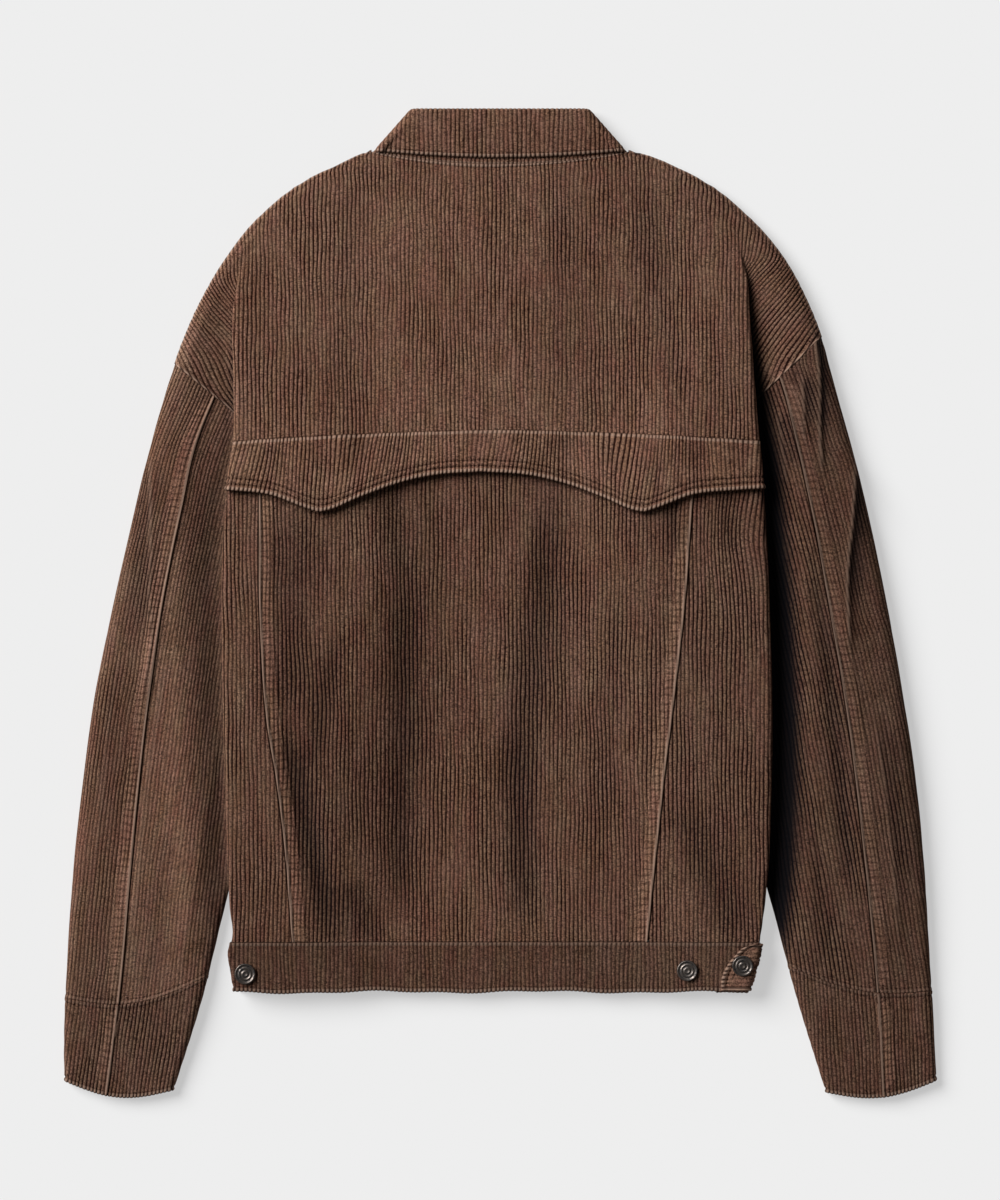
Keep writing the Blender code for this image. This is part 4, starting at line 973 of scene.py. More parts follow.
def make_yoke(finish):
    """Upper back with the dropped shoulders. Its rows bend towards the yoke seam below and the neck above."""
    tip = TIP_HEIGHT[LEFT]
    rows = []
    for level in spaced(YOKE_ROW_LOW, YOKE_ROW_HIGH, ROW_STEP, BESIDE_SEAM, BESIDE_SEAM):
        low = smooth_step((tip - level) / (tip - YOKE_ROW_LOW))
        high = smooth_step(1.0 - (YOKE_ROW_HIGH - level) / NECK_BEND)
        ends = [cloth_to(side, level, -1) for side in (LEFT, RIGHT)]
        for _ in range(SETTLING):
            across = np.linspace(-ends[0], ends[1], 2 * DENSE)
            x = across_back(across, np.full(2 * DENSE, level))[:, 0]
            bent = low * (yoke_seam(x) + SEAM_LINE - YOKE_ROW_LOW)
            y = level + bent + high * (neck_seam(x) - YOKE_ROW_HIGH)
            ends = cloth_to(LEFT, y[0], -1), cloth_to(RIGHT, y[-1], -1)
        rows.append((across_back(across, y), across))
    sewn = ("cord", "cord", None, "band")
    sew("back_yoke", rows, sewn, ["front_left", "front_right"], finish, grain=shoulder_grain)


def flap_grain(across, points):
    """Where the wales lie on the flap. They lean, each stretch in its own way."""
    lean = FLAP_LEAN - FLAP_LEAN_CHANGE * across + FLAP_LEAN_WAVE * np.sin(across / 17.0 + 1.0)
    return across - lean * (points[..., 1] - points[:1, :, 1])


def make_flap(finish):
    """Loose flap under the yoke seam, turned in round the side folds."""
    rows = []
    edge_rows = (0.0, *BESIDE_EDGE)
    shares = np.linspace(0.0, 1.0, FLAP_ROWS + 1)[1:]
    for distance, share in [(d, 0.0) for d in edge_rows] + [(edge_rows[-1], s) for s in shares]:
        ends = [cloth_to(side, FLAP_EDGE[-1][1], 1) + FLAP_TURN_IN for side in (LEFT, RIGHT)]
        for _ in range(SETTLING):
            across = np.linspace(-ends[0], ends[1], 2 * DENSE)
            low = FLAP_LOW(np.abs(across - FLAP_MIDDLE)) + distance
            y = mix(low, yoke_seam(across) - SEAM_LINE, share)
            ends = cloth_to(LEFT, y[0], 1) + FLAP_TURN_IN, cloth_to(RIGHT, y[-1], 1) + FLAP_TURN_IN
        points = across_back(across, y)
        points[:, 2] += FLAP_LIFT * (1.0 - smooth_step((y - low + distance) / FLAP_LIFT_OVER))
        between = smooth_step((y - low - 4.0) / 10.0) * smooth_step((yoke_seam(across) - y) / 5.0)
        waves = np.sin(across / 5.4 + 0.05 * y) + 0.7 * np.sin(across / 8.7 - 0.08 * y + 2.0)
        points[:, 2] += FLAP_PUCKER * between * waves
        rows.append((points, across))
    sewn = (None, None, "edge", "seam")
    sew("back_flap", rows, sewn, ["back_center", "back_side_left"], finish, grain=flap_grain)


def panel_height(level, x):
    """Height of a back panel's row, bent towards the yoke seam at the top."""
    bend = smooth_step(1.0 - (PANEL_ROW_HIGH - level) / PANEL_BEND)
    return level + bend * (yoke_seam(x) - PANEL_TUCK - PANEL_ROW_HIGH)


def panel_grain(side):
    """Where the wales lie on a back panel that is counted out to this side."""
    return lambda across, points: across + pulled(side * across, points[..., 1])


def sunk(points, across, y):
    """The back panels' points, lowered where they pass under the flap."""
    left, right = panel_sink(LEFT, -across, y), panel_sink(RIGHT, across, y)
    points[:, 2] += np.where(across < 0.0, left, right)
    return points


def make_centre_back(finish):
    rows = []
    for level in spaced(WAIST_SEAM, PANEL_ROW_HIGH, ROW_STEP, BESIDE_SEAM):
        left, right = (SIDE_BACK[side](level) - SEAM_GAP / 2 for side in (LEFT, RIGHT))
        across = np.linspace(-left, right, DENSE)
        y = panel_height(level, across)
        rows.append((sunk(across_back(across, y), across, y), across))
    sewn = ("felled", "felled", None, None)
    sew("back_center", rows, sewn, ["front_left", "front_right"], finish, "laid", grain=panel_grain(RIGHT))


def patch_at(x, y, at_x, at_y, wide, high):
    """1 in the middle of a patch, falling to 0 past its reaches."""
    return np.exp(-(((x - at_x) / wide) ** 2) - ((y - at_y) / high) ** 2)


def pulled(x, y):
    """How far the wales are pulled sideways."""
    return sum(most * patch_at(x, y, *place) for *place, most in PULLS)


def make_side_backs(finish):
    for side, word in SIDES.items():
        rows = []
        for level in spaced(WAIST_SEAM, PANEL_ROW_HIGH, ROW_STEP, BESIDE_SEAM):
            start = SIDE_BACK[side](level) + SEAM_GAP / 2
            end = cloth_to(side, level, -1)
            for _ in range(SETTLING):
                across = np.linspace(start, end, DENSE)
                y = panel_height(level, across)
                end = cloth_to(side, y[-1], -1)
            points = on_body(side, across, y)
            points[:, 2] += panel_sink(side, across, y)
            rows.append((points, across))
        sewn, shape = ("plain", None, None, None), {"flip": side == LEFT, "grain": panel_grain(side)}
        sew(f"back_side_{word}", rows, sewn, [f"sleeve_under_{word}"], finish, **shape)


def neck_front_out(y):
    """Distance of the front neckline from the centre line."""
    share = (y - NECK_FRONT) / (FREE_HEIGHT - NECK_FRONT)
    return NECK_HALF * math.sqrt(max(share, 0.0)) if share > 0 else -LAP


def make_fronts(finish):
    """The buttoned fronts, which lie under everything else."""
    for side, word in SIDES.items():
        rows = []
        for level in spaced(WAIST_SEAM, YOKE_ROW_HIGH, FRONT_ROW_STEP, BESIDE_SEAM):
            open_here = smooth_step((level - NECK_OPENS) / NECK_OPENS_OVER)
            start = mix(-LAP, max(neck_front_out(level), -LAP), open_here)
            across = np.linspace(start, cloth_to(side, level, -1, False), DENSE)
            points = on_body(side, across, np.full(DENSE, level), False, side == RIGHT)
            rows.append((points, across))
        sewn = ("edge", "band", "plain", "plain")
        sew(f"front_{word}", rows, sewn, ["floor"], finish, flip=side == RIGHT, columns_per_wale=3)


def sleeve_row(side, down):
    """One row round a sleeve and its cuff: the armhole at 0, the cuff seam at 1, the cuff's end at 2."""
    armhole = (ARMPIT_HEIGHT[side], TIP_HEIGHT[side], ARMHOLE_SAG[side])
    ends = (armhole, CUFF_SEAM[side], CUFF_END[side])
    first = min(int(down), 1)
    upper, lower = ends[first], ends[first + 1]
    share = down - first
    inner_y, outer_y = (mix(upper[i], lower[i], share) for i in (0, 1))
    sag = mix(upper[2], lower[2], share)
    if first == 0:
        sag = upper[2] * (1 - share) ** 2 + lower[2] * share**2
    return inner_y, outer_y, sag


def sleeve_ring(side, down, around, gap=0.0):
    """Points of one row round the sleeve. Round it, 0 to 1 is the upper side from the inner to the outer
    fold, 1 to 2 the outer fold, 2 to 3 the lower side back to the inner fold, and 3 to 4 (or -1 to 0) the
    inner fold. Gap is the share of its lap by which the row goes up under the armhole's edge.
    """
    inner_y, outer_y, sag = sleeve_row(side, down)
    inner, outer = INNER[side](inner_y), OUTER[side](outer_y)
    around = np.mod(around, 4.0)

    def fold_reach(out, y):
        return SLEEVE_ROUND * (sleeve_high(side, out, y) - sleeve_low(side, out, y))

    outside = outer - fold_reach(outer - ROUND_OUTSIDE, outer_y)
    inside = inner + fold_reach(inner + ROUND_INSIDE, inner_y)
    turn = math.pi * np.mod(around, 1.0)
    parts = [around <= 1.0, around <= 2.0, around <= 3.0]
    lying = mix(inside, outside, around), outside + (outer - outside) * np.sin(turn)
    back_in = mix(outside, inside, around - 2.0)
    out = np.select(parts, [*lying, back_in], inside - (inside - inner) * np.sin(turn))
    level = np.ones(len(around))
    upness = np.select(parts, [level, np.cos(math.pi * (around - 1.0)), -level], -np.cos(turn))
    share = np.clip((out - inner) / (outer - inner), 0.0, 1.0)
    y = mix(inner_y, outer_y, share) - sag * np.sin(math.pi * share)
    y = y + gap * ARMHOLE_LAP
    high, low = sleeve_high(side, out, y), sleeve_low(side, out, y)
    return np.stack([side * out, y, mix(low, high, (upness + 1.0) / 2.0)], 1)


def seam_around(side, down, gap=0.0):
    """Where the back seam of a sleeve crosses a row, as a share of its upper side."""
    around = np.linspace(0.05, 0.98, 200)
    points = sleeve_ring(side, down, around, gap)
    return float(np.interp(0.0, np.abs(points[:, 0]) - BACK_SEAM[side](points[:, 1]), around))


def crease_sleeve(side, points):
    """Raises the folds of a sleeve's upper side. A sharp one has a ridge with a steeper outer slope."""
    x, y, z = points.T
    upper = smooth_step((z - 5.0) / 4.0)
    for own, line, inner, outer, rise, _ in SLEEVE_FOLDS:
        if own != side:
            continue
        off, left = fold_at(side, line, x, y)
        reach = np.where(off > 0.0, outer, inner)
        slope = np.exp(-np.abs(off) / reach) if rise > 0.0 else np.exp(-((off / reach) ** 2))
        points[:, 2] += rise * left * slope * upper
    return points


def sleeve_lengths(side, points):
    """Length of cloth round a sleeve from the first point on, counted square to its back seam."""
    off_seam = np.abs(points[:, 0]) - BACK_SEAM[side](points[:, 1])
    return np.concatenate([[0.0], np.cumsum(np.hypot(np.diff(off_seam), np.diff(points[:, 2])))])


def sleeve_grain(side, half):
    """Where the wales lie on half a sleeve. They lean, and on the left they are finer."""
    finer = FINER if side == LEFT else 1.0
    lean = SLEEVE_LEAN[side] * (1.0 if half == "top" else -1.0)
    return lambda across, points: across * finer + lean * points[..., 1]


def make_sleeves(finishes):
    gap = SLEEVE_SEAM_SHARE
    downs = spaced(0.0, 1.0 - CUFF_GAP, SLEEVE_ROW, BESIDE_SLEEVE_SEAM, BESIDE_SLEEVE_SEAM)[::-1]
    for side, word in SIDES.items():
        halves = {"top": [], "under": []}
        for down in downs:
            seam = seam_around(side, down, 1.0 - down)
            knots = {
                "top": (seam + gap, 1.0, 2.0, 2.0 + SLEEVE_HIDDEN_SEAM - gap),
                "under": (seam - gap, 0.0, -1.0, -2.0 + SLEEVE_HIDDEN_SEAM + gap),
            }
            for half, stops in knots.items():
                around = np.interp(np.linspace(0.0, 3.0, DENSE), np.arange(4.0), stops)
                points = crease_sleeve(side, sleeve_ring(side, down, around, 1.0 - down))
                halves[half].append((points, sleeve_lengths(side, points)))
        for half, rows in halves.items():
            edge = "felled" if half == "top" else "plain"
            sew(
                f"sleeve_{half}_{word}",
                rows,
                (edge, "plain", "double", "plain"),
                [f"front_{word}"],
                finishes[side][half],
                flip=(side == RIGHT) != (half == "top"),
                grain=sleeve_grain(side, half),
            )


def make_cuffs(finishes):
    start = 2.0 + SLEEVE_HIDDEN_SEAM - CUFF_SIDE_SHARE
    stops = (start, 2.0, 1.0, 0.0, -1.0, start - 4.0 + 2.0 * CUFF_SIDE_SHARE)
    downs = spaced(1.0 + CUFF_GAP, 2.0, CUFF_ROW, BESIDE_CUFF_SEAM, BESIDE_CUFF_END)[::-1]
    for side, word in SIDES.items():
        rows = []
        for down in downs:
            around = np.interp(np.linspace(0.0, 5.0, DENSE), np.arange(6.0), stops)
            points = sleeve_ring(side, down, around)
            points[:, 2] += (CUFF_CLOTH - CLOTH) / 2.0
            lengths = sleeve_lengths(side, points)
            seam = np.interp(-seam_around(side, down), -around, lengths)
            rows.append((points, lengths - seam))
        sew(
            f"cuff_{word}",
            rows,
            ("plain", "plain", "band", "double"),
            ["floor"],
            finishes[side],
            thickness=CUFF_CLOTH,
            flip=side == RIGHT,
            grain=lambda across, _: FINER * across,
            middle_seam=True,
        )


def hem_wave(across, level):
    """The band's lower edge isn't quite straight."""
    low = smooth_step((HEM + HEM_WAVE_OVER - level) / HEM_WAVE_OVER)
    return HEM_WAVE * low * (np.sin(across / 21.0) + 0.6 * np.sin(across / 8.3 + 1.0) - 0.4)


def make_waistband(finish):
    """The band goes on from the body's cloth, as a back cut and two fronts."""
    levels = spaced(HEM, WAIST_SEAM - SEAM_GAP, ROW_STEP, BESIDE_BAND, BESIDE_BAND)
    rows = []
    for level in levels:
        across = np.linspace(-cloth_to(LEFT, level, 2), cloth_to(RIGHT, level, 2), 2 * DENSE)
        rows.append((across_back(across, level + hem_wave(across, level)), across))
    sewn = ("plain", "plain", "band", "seam")
    sew("waistband_back", rows, sewn, ["waistband_front_left"], finish, thickness=BAND_CLOTH)
    for side, word in SIDES.items():
        rows = []
        for level in levels:
            across = np.linspace(-LAP, cloth_to(side, level, 2, False), DENSE)
            points = on_body(side, across, np.full(DENSE, level), False, side == RIGHT)
            points[:, 2] += (BAND_CLOTH - CLOTH) / 2.0
            rows.append((points, across))
        sewn = ("edge", "plain", "band", "band")
        shape = {"thickness": BAND_CLOTH, "flip": side == RIGHT, "columns_per_wale": 3}
        sew(f"waistband_front_{word}", rows, sewn, ["floor"], finish, **shape)


def tab_root(side, y):
    return cloth_to(side, y, -1) - TAB_ROOT


def tab_tip(side, y):
    """Where the tab's tip lies along the cloth of the waistband. On the left it stays behind the fold."""
    if side == LEFT:
        return tab_root(side, y) - TAB_LENGTH + (TAB_TIP_AT(y) - TAB_TIP_AT(HEM))
    return TAB_TIP_AT(y)


def raised_on_body(side, cloth, y, raised):
    """Points above the back's cloth, square to it."""
    here = on_body(side, cloth, y)
    tangent = on_body(side, cloth + 0.5, y) - on_body(side, cloth - 0.5, y)
    normal = np.stack([-tangent[..., 2], 0.0 * tangent[..., 0], tangent[..., 0]], -1) * side
    normal /= np.linalg.norm(normal, axis=-1, keepdims=True)
    return here + raised * normal


def make_tabs(finish):
    """The tabs, whose wales run along them."""
    raised = (BAND_CLOTH + TAB_CLOTH) / 2.0 + TAB_GAP
    heights = np.linspace(HEM + 0.8, WAIST_SEAM - 1.3, DENSE // 4)
    for side, word in SIDES.items():
        tips = np.array([tab_tip(side, level) for level in heights])
        roots = np.array([tab_root(side, level) for level in heights])
        rows = []
        for share in spaced(0.0, 1.0, TAB_ROW, BESIDE_TAB_TIP):
            points = raised_on_body(side, mix(tips, roots, share), heights, raised)
            rows.append((points, heights - HEM))
        sewn, shape = ("band", "band", "edge", "plain"), {"thickness": TAB_CLOTH, "flip": side == RIGHT}
        sew(f"waist_tab_{word}", rows, sewn, ["waistband_back"], finish, **shape)


def collar_point(side, column, down, radius):
    """Point of the collar. Columns: 0 to 1 is the back from its middle, 1 to 2 the fold at the side of the
    neck, 2 to 3 the leaf in front. Down is 0 at the roll line and 1 at the free edge.
    """
    most = FALL_RADIUS + COLLAR_CLOTH / 2.0
    half = mix(ROLL_HALF, FREE_HALF, down) - most
    y = mix(ROLL_HEIGHT, FREE_HEIGHT, down)
    if column <= 1.0:
        return side * column * half, y, COLLAR_MIDDLE + radius
    if column <= 2.0:
        turn = math.pi * (column - 1.0)
        return side * (half + radius * math.sin(turn)), y, COLLAR_MIDDLE + radius * math.cos(turn)
    front = [mix(ROLL_FRONT[i], LEAF_POINT[i], down) for i in (0, 1)]
    share = column - 2.0
    return side * mix(half, front[0], share), mix(y, front[1], share), COLLAR_MIDDLE - radius


def collar_row(place_point):
    """A row along the collar, from its point at a side and a column, with the lengths from its middle."""
    places = np.linspace(-3.0, 3.0, COLLAR_SAMPLES)
    points = np.array([place_point(LEFT if place < 0 else RIGHT, abs(place)) for place in places])
    lengths = np.concatenate([[0.0], np.cumsum(np.linalg.norm(np.diff(points, axis=0), axis=1))])
    return points, lengths - lengths[len(lengths) // 2]


def make_collar(finish):
    """The fall, from inside the roll line over it and down to the free edge."""
    rows = []
    over_roll, down_fall = np.linspace(0.0, ROLL_ROWS, ROLL_COUNT), np.linspace(ROLL_ROWS, 1.0, FALL_COUNT)
    for v in np.concatenate([over_roll[:-1], down_fall]):
        turn = math.pi * min(v / ROLL_ROWS, 1.0)
        radius = mix(STAND_RADIUS, FALL_RADIUS, (1.0 - math.cos(turn)) / 2.0)
        down = ROLL_INSIDE * (1.0 - math.sin(turn))
        if v > ROLL_ROWS:
            down = mix(ROLL_INSIDE, 1.0, (v - ROLL_ROWS) / (1.0 - ROLL_ROWS))
        dropped = FALL_DROP * smooth_step((down - 0.3) / 0.7) if v > ROLL_ROWS else 0.0

        def place_point(side, column):
            own = radius - dropped if column <= 1.0 else radius
            x, y, z = collar_point(side, column, down, own)
            return x, y - FALL_SAG * max(down - 0.2, 0.0) * (1.0 - min(column, 1.0) ** 2), z

        rows.append(collar_row(place_point))
    shape = {"thickness": COLLAR_CLOTH, "grain": lambda across, _: COARSER * across}
    sew("collar", rows[::-1], ("band", "band", "band", None), ["collar_stand"], finish, **shape)


def stand_low(side, across):
    """Point of the stand's lower edge: along the neck seam, round the side of the neck and down the front."""
    most = FALL_RADIUS + COLLAR_CLOTH / 2.0
    if across <= 1.0:
        x = across * (NECK_HALF - most)
        return side * x, neck_seam(x) - STAND_LAP, COLLAR_MIDDLE + STAND_RADIUS - STAND_SINK
    if across <= 2.0:
        turn = math.pi * (across - 1.0)
        x = NECK_HALF - most + STAND_RADIUS * math.sin(turn)
        level = COLLAR_MIDDLE + STAND_RADIUS * math.cos(turn)
        return side * x, FREE_HEIGHT - STAND_LAP * (2.0 - across), level - STAND_SINK * (2.0 - across)
    y = mix(FREE_HEIGHT, NECK_FRONT, across - 2.0)
    x = min(max(neck_front_out(y), 1.0), NECK_HALF - most)
    return side * x, y + 4.0 * SEAM_GAP, COLLAR_MIDDLE - STAND_RADIUS


def make_stand(finish):
    rows = []
    for share in np.linspace(0.0, 1.0, STAND_COUNT):

        def place_point(side, column):
            low = stand_low(side, column)
            top = collar_point(side, column, STAND_TOP, STAND_RADIUS)
            return [mix(low[i], top[i], share) for i in range(3)]

        rows.append(collar_row(place_point))
    sewn = ("plain", "plain", "seam", None)
    sew("collar_stand", rows, sewn, ["front_left", "front_right"], finish)


# ---------------------------------------------------------------- finishes


def new_material(name):
    finish = bpy.data.materials.new(name)
    finish.use_nodes = True
    return finish, finish.node_tree, finish.node_tree.nodes["Principled BSDF"]


def set_sockets(node, values):
    for socket, value in values.items():
        node.inputs[socket].default_value = value


def ramp(tree, source, low, high, low_value=0.0, high_value=1.0):
    """Smooth ramp of a value between two marks."""
    node = tree.nodes.new("ShaderNodeMapRange")
    node.interpolation_type = "SMOOTHSTEP"
    set_sockets(node, {"From Min": low, "From Max": high, "To Min": low_value, "To Max": high_value})
    tree.links.new(source, node.inputs["Value"])
    return node.outputs["Result"]


def sums(tree, operation, first, second=0.0):
    node = tree.nodes.new("ShaderNodeMath")
    node.operation = operation
    for i, value in enumerate((first, second)):
        if isinstance(value, (int, float)):
            node.inputs[i].default_value = value
        else:
            tree.links.new(value, node.inputs[i])
    return node.outputs[0]


def blend_colours(tree, share, first, second):
    node = tree.nodes.new("ShaderNodeMix")
    node.data_type = "RGBA"
    if isinstance(share, (int, float)):
        node.inputs[0].default_value = share
    else:
        tree.links.new(share, node.inputs[0])
    for socket, value in ((node.inputs[6], first), (node.inputs[7], second)):
        if isinstance(value, tuple):
            socket.default_value = (*value, 1.0)
        else:
            tree.links.new(value, socket)
    return node.outputs[2]


def noise(tree, vector, scale, detail=2.0, roughness=0.5):
    node = tree.nodes.new("ShaderNodeTexNoise")
    set_sockets(node, {"Scale": scale, "Detail": detail, "Roughness": roughness})
    tree.links.new(vector, node.inputs["Vector"])
    return node.outputs["Fac"]


def near(tree, value, middle, half_width):
    """1 at a mark, falling to 0 on both sides of it."""
    off = sums(tree, "ABSOLUTE", sums(tree, "SUBTRACT", value, middle))
    return ramp(tree, off, 0.3 * half_width, half_width, 1.0, 0.0)


def joined(tree, operation, *values):
    return functools.reduce(lambda first, second: sums(tree, operation, first, second), values)


def times(tree, *factors):
    return joined(tree, "MULTIPLY", *factors)


def attribute(tree, name):
    node = tree.nodes.new("ShaderNodeAttribute")
    node.attribute_name = name
    return node.outputs


def stretched(tree, parts, scales):
    """A place on the cloth with each part scaled, so that a noise on it is drawn out along the wales."""
    node = tree.nodes.new("ShaderNodeCombineXYZ")
    for part, scale, socket in zip(parts, scales, node.inputs):
        tree.links.new(times(tree, part, scale), socket)
    return node.outputs[0]


def corduroy_group():
    """Colour and height of the pile. Cloth counts wales across and millimetres along. Sewn is the distance
    from a sewn edge, the length along it and its kind. Shade is the share of painted shade, and a second
    attribute the share of painted highlight along the ridges of sharp folds.
    """
    group = bpy.data.node_groups.new("corduroy pile", "ShaderNodeTree")
    face = group.interface
    for name in ("Ridge", "Worn", "Bead", "Valley"):
        face.new_socket(name, in_out="INPUT", socket_type="NodeSocketColor")
    face.new_socket("Depth", in_out="INPUT", socket_type="NodeSocketFloat").default_value = 1.0
    face.new_socket("Colour", in_out="OUTPUT", socket_type="NodeSocketColor")
    face.new_socket("Height", in_out="OUTPUT", socket_type="NodeSocketFloat")
    start, end = group.nodes.new("NodeGroupInput"), group.nodes.new("NodeGroupOutput")
    parts = {}
    for name in ("cloth", "sewn"):
        split = group.nodes.new("ShaderNodeSeparateXYZ")
        group.links.new(attribute(group, name)["Vector"], split.inputs[0])
        parts[name] = split.outputs
    wale, along, seed = parts["cloth"]
    distance, run, kind = parts["sewn"]
    # Painted shade, and painted highlight along the ridges of sharp folds.
    shade, rubbed_and_painted_highlight = attribute(group, "shade")["Fac"], attribute(group, "rubbed_and_painted_highlight")["Fac"]
    place = group.nodes.new("ShaderNodeTexCoord").outputs["Object"]

    def is_kind(name):
        return near(group, kind, KINDS[name], 0.6)

    own_wale = sums(group, "FLOOR", wale), along, seed
    strand = noise(group, stretched(group, own_wale, (7.31, 0.06, 1.0)), 1.0, 4.0, 0.7)
    patch = noise(group, place, 9.0, 3.0, 0.55)
    blotch = noise(group, place, 46.0, 2.0, 0.5)
    fuzz = noise(group, place, 1300.0, 2.0, 0.8)
    grain = noise(group, place, 420.0, 2.0, 0.6)
    stretch = stretched(group, (wale, along, seed), (0.15, 0.013, 5.0))
    open_pile = noise(group, stretch, 1.0, 2.0, 0.55)
    tuft = noise(group, stretched(group, (wale, along, seed), (1.7, 0.78, 9.0)), 1.0, 2.0, 0.6)

    ragged = times(group, sums(group, "SUBTRACT", tuft, 0.5), 0.26)
    off_valley = sums(group, "ADD", sums(group, "PINGPONG", wale, 0.5), ragged)
    # Painted shade in the valleys between the wales: ragged, uneven, and deeper under painted shade.
    painted_valley_shade = times(
        group,
        ramp(group, off_valley, 0.07, 0.33, 1.0, 0.0),
        ramp(group, open_pile, 0.3, 0.68, 0.72, 1.22),
        start.outputs["Depth"],
        ramp(group, shade, 0.1, 0.45, 1.0, 1.45),
    )

    wear = (
        (patch, 0.3, 0.75, 0.28),
        (strand, 0.35, 0.75, 0.3),
        (noise(group, stretch, 3.3), 0.3, 0.72, 0.24),
        (blotch, 0.4, 0.8, 0.16),
    )
    worn = joined(group, "ADD", *[times(group, ramp(group, *marks), most) for *marks, most in wear])
    strip = ramp(group, distance, FELL_WIDTH - 0.6, FELL_WIDTH - 0.1, 1.0, 0.0)
    felled = times(group, is_kind("felled"), strip)
    inner = times(group, felled, ramp(group, distance, 1.4, 2.4))

    ridge = blend_colours(group, worn, start.outputs["Ridge"], start.outputs["Worn"])
    tone = group.nodes.new("ShaderNodeHueSaturation")
    value = joined(
        group,
        "ADD",
        ramp(group, tuft, 0.25, 0.75, 0.62, 1.4),
        ramp(group, fuzz, 0.3, 0.7, -0.86, 0.86),
        times(group, inner, STRIP_LIGHT),
    )
    tint = noise(group, stretch, 2.1, 2.0, 0.5)
    group.links.new(ramp(group, tint, 0.3, 0.7, 0.494, 0.508), tone.inputs["Hue"])
    group.links.new(value, tone.inputs["Value"])
    group.links.new(ridge, tone.inputs["Color"])

    jitter = times(group, sums(group, "SUBTRACT", noise(group, place, 90.0), 0.5), 7.0)
    shaken = sums(group, "ADD", run, jitter)
    rung = ramp(group, sums(group, "PINGPONG", shaken, RUNG), 0.35, 1.25, 1.0, 0.0)
    hole = ramp(group, sums(group, "PINGPONG", run, STITCH), 0.35, 0.9, 1.0, 0.25)
    sunk_stitch = ramp(group, sums(group, "PINGPONG", wale, 0.5), 0.08, 0.34, 1.0, 0.0)
    rows = {
        "felled": (FELL_ROWS, 0.9),
        "edge": (EDGE_ROWS, 1.0),
        "band": ((BAND_ROW,), 0.9),
        "double": ((DOUBLE_ROW,), 1.0),
        "cord": ((CORD_ROW,), 1.0),
    }
    dark, beads = times(group, inner, rung, 0.42), 0.0
    end_line = ramp(group, distance, 0.2, 0.9, 1.0, 0.0)
    for name in KINDS:
        own = is_kind(name)
        marks, reach = rows.get(name, ((), 0.0))
        for mark in marks:
            gaps = hole if name in ("felled", "cord") else sums(group, "MAXIMUM", sunk_stitch, 0.45)
            stitches = times(group, own, near(group, distance, mark, reach), gaps, ROW_SHADE[name])
            dark = sums(group, "MAXIMUM", dark, stitches)
        dark = sums(group, "MAXIMUM", dark, times(group, own, end_line, END_SHADE[name]))
        middle, half_width = (1.0, 1.8) if name == "felled" else (1.6, 1.7)
        bright = times(group, own, near(group, distance, middle, half_width), BEAD_LIGHT.get(name, 0.0))
        beads = sums(group, "MAXIMUM", beads, bright)

    lit = tone.outputs[0]
    # Painted highlight on the folds' ridges, then the beads, then the stitches and seam ends.
    for share, name in (
        (times(group, rubbed_and_painted_highlight, 0.9), "Worn"),
        (times(group, rubbed_and_painted_highlight, 0.4), "Bead"),
        (beads, "Bead"),
        (dark, "Valley"),
    ):
        lit = blend_colours(group, share, lit, start.outputs[name])
    smooth = joined(
        group,
        "MAXIMUM",
        times(group, is_kind("cord"), ramp(group, distance, 2.0, 3.2, 1.0, 0.0)),
        times(group, is_kind("felled"), beads),
        times(group, rubbed_and_painted_highlight, 0.7),
        times(group, inner, 0.45),
    )
    uneven = ramp(group, strand, 0.2, 0.8, 1.05, 0.85)
    # The valleys take their painted shade: less where the cloth is smooth, more across a bead.
    depth = times(group, painted_valley_shade, uneven, ramp(group, smooth, 0.0, 1.0, 1.0, 0.35))
    bead_valley_shade = times(group, sums(group, "SUBTRACT", 1.0, is_kind("felled")), beads, sunk_stitch, 1.3)
    depth = sums(group, "MAXIMUM", depth, sums(group, "MINIMUM", bead_valley_shade, 0.92))
    colour = blend_colours(group, depth, lit, start.outputs["Valley"])
    # Painted shade of the gaps, folds, creases and patches goes over all.
    colour = blend_colours(group, shade, colour, PAINTED_SHADE_COLOUR)
    group.links.new(colour, end.inputs["Colour"])
    height = sums(group, "ADD", times(group, fuzz, 0.5), times(group, grain, 0.25))
    height = sums(group, "SUBTRACT", height, times(group, dark, 1.6))
    group.links.new(height, end.inputs["Height"])
    return group


def make_corduroy(group, name, tone, depth):
    finish, tree, shader = new_material(name)
    pile = tree.nodes.new("ShaderNodeGroup")
    pile.node_tree = group
    for socket, colour in PILE_COLOURS.items():
        pile.inputs[socket].default_value = (*[tone * part for part in colour], 1.0)
    pile.inputs["Depth"].default_value = depth
    tree.links.new(pile.outputs["Colour"], shader.inputs["Base Color"])
    bump = tree.nodes.new("ShaderNodeBump")
    set_sockets(bump, {"Strength": 0.7, "Distance": 0.0007})
    tree.links.new(pile.outputs["Height"], bump.inputs["Height"])
    tree.links.new(bump.outputs["Normal"], shader.inputs["Normal"])
    set_sockets(shader, CLOTH_SHADER)
    return finish


def make_brass():
    finish, tree, shader = new_material("antiqued brass")
    place = tree.nodes.new("ShaderNodeTexCoord").outputs["Object"]
    tarnish = ramp(tree, noise(tree, place, 420.0, 3.0, 0.6), 0.4, 0.65)
    colour = blend_colours(tree, tarnish, BRASS, TARNISH)
    tree.links.new(colour, shader.inputs["Base Color"])
    tree.links.new(ramp(tree, tarnish, 0.0, 1.0, 0.34, 0.6), shader.inputs["Roughness"])
    shader.inputs["Metallic"].default_value = 0.9
    return finish


# ---------------------------------------------------------------- buttons


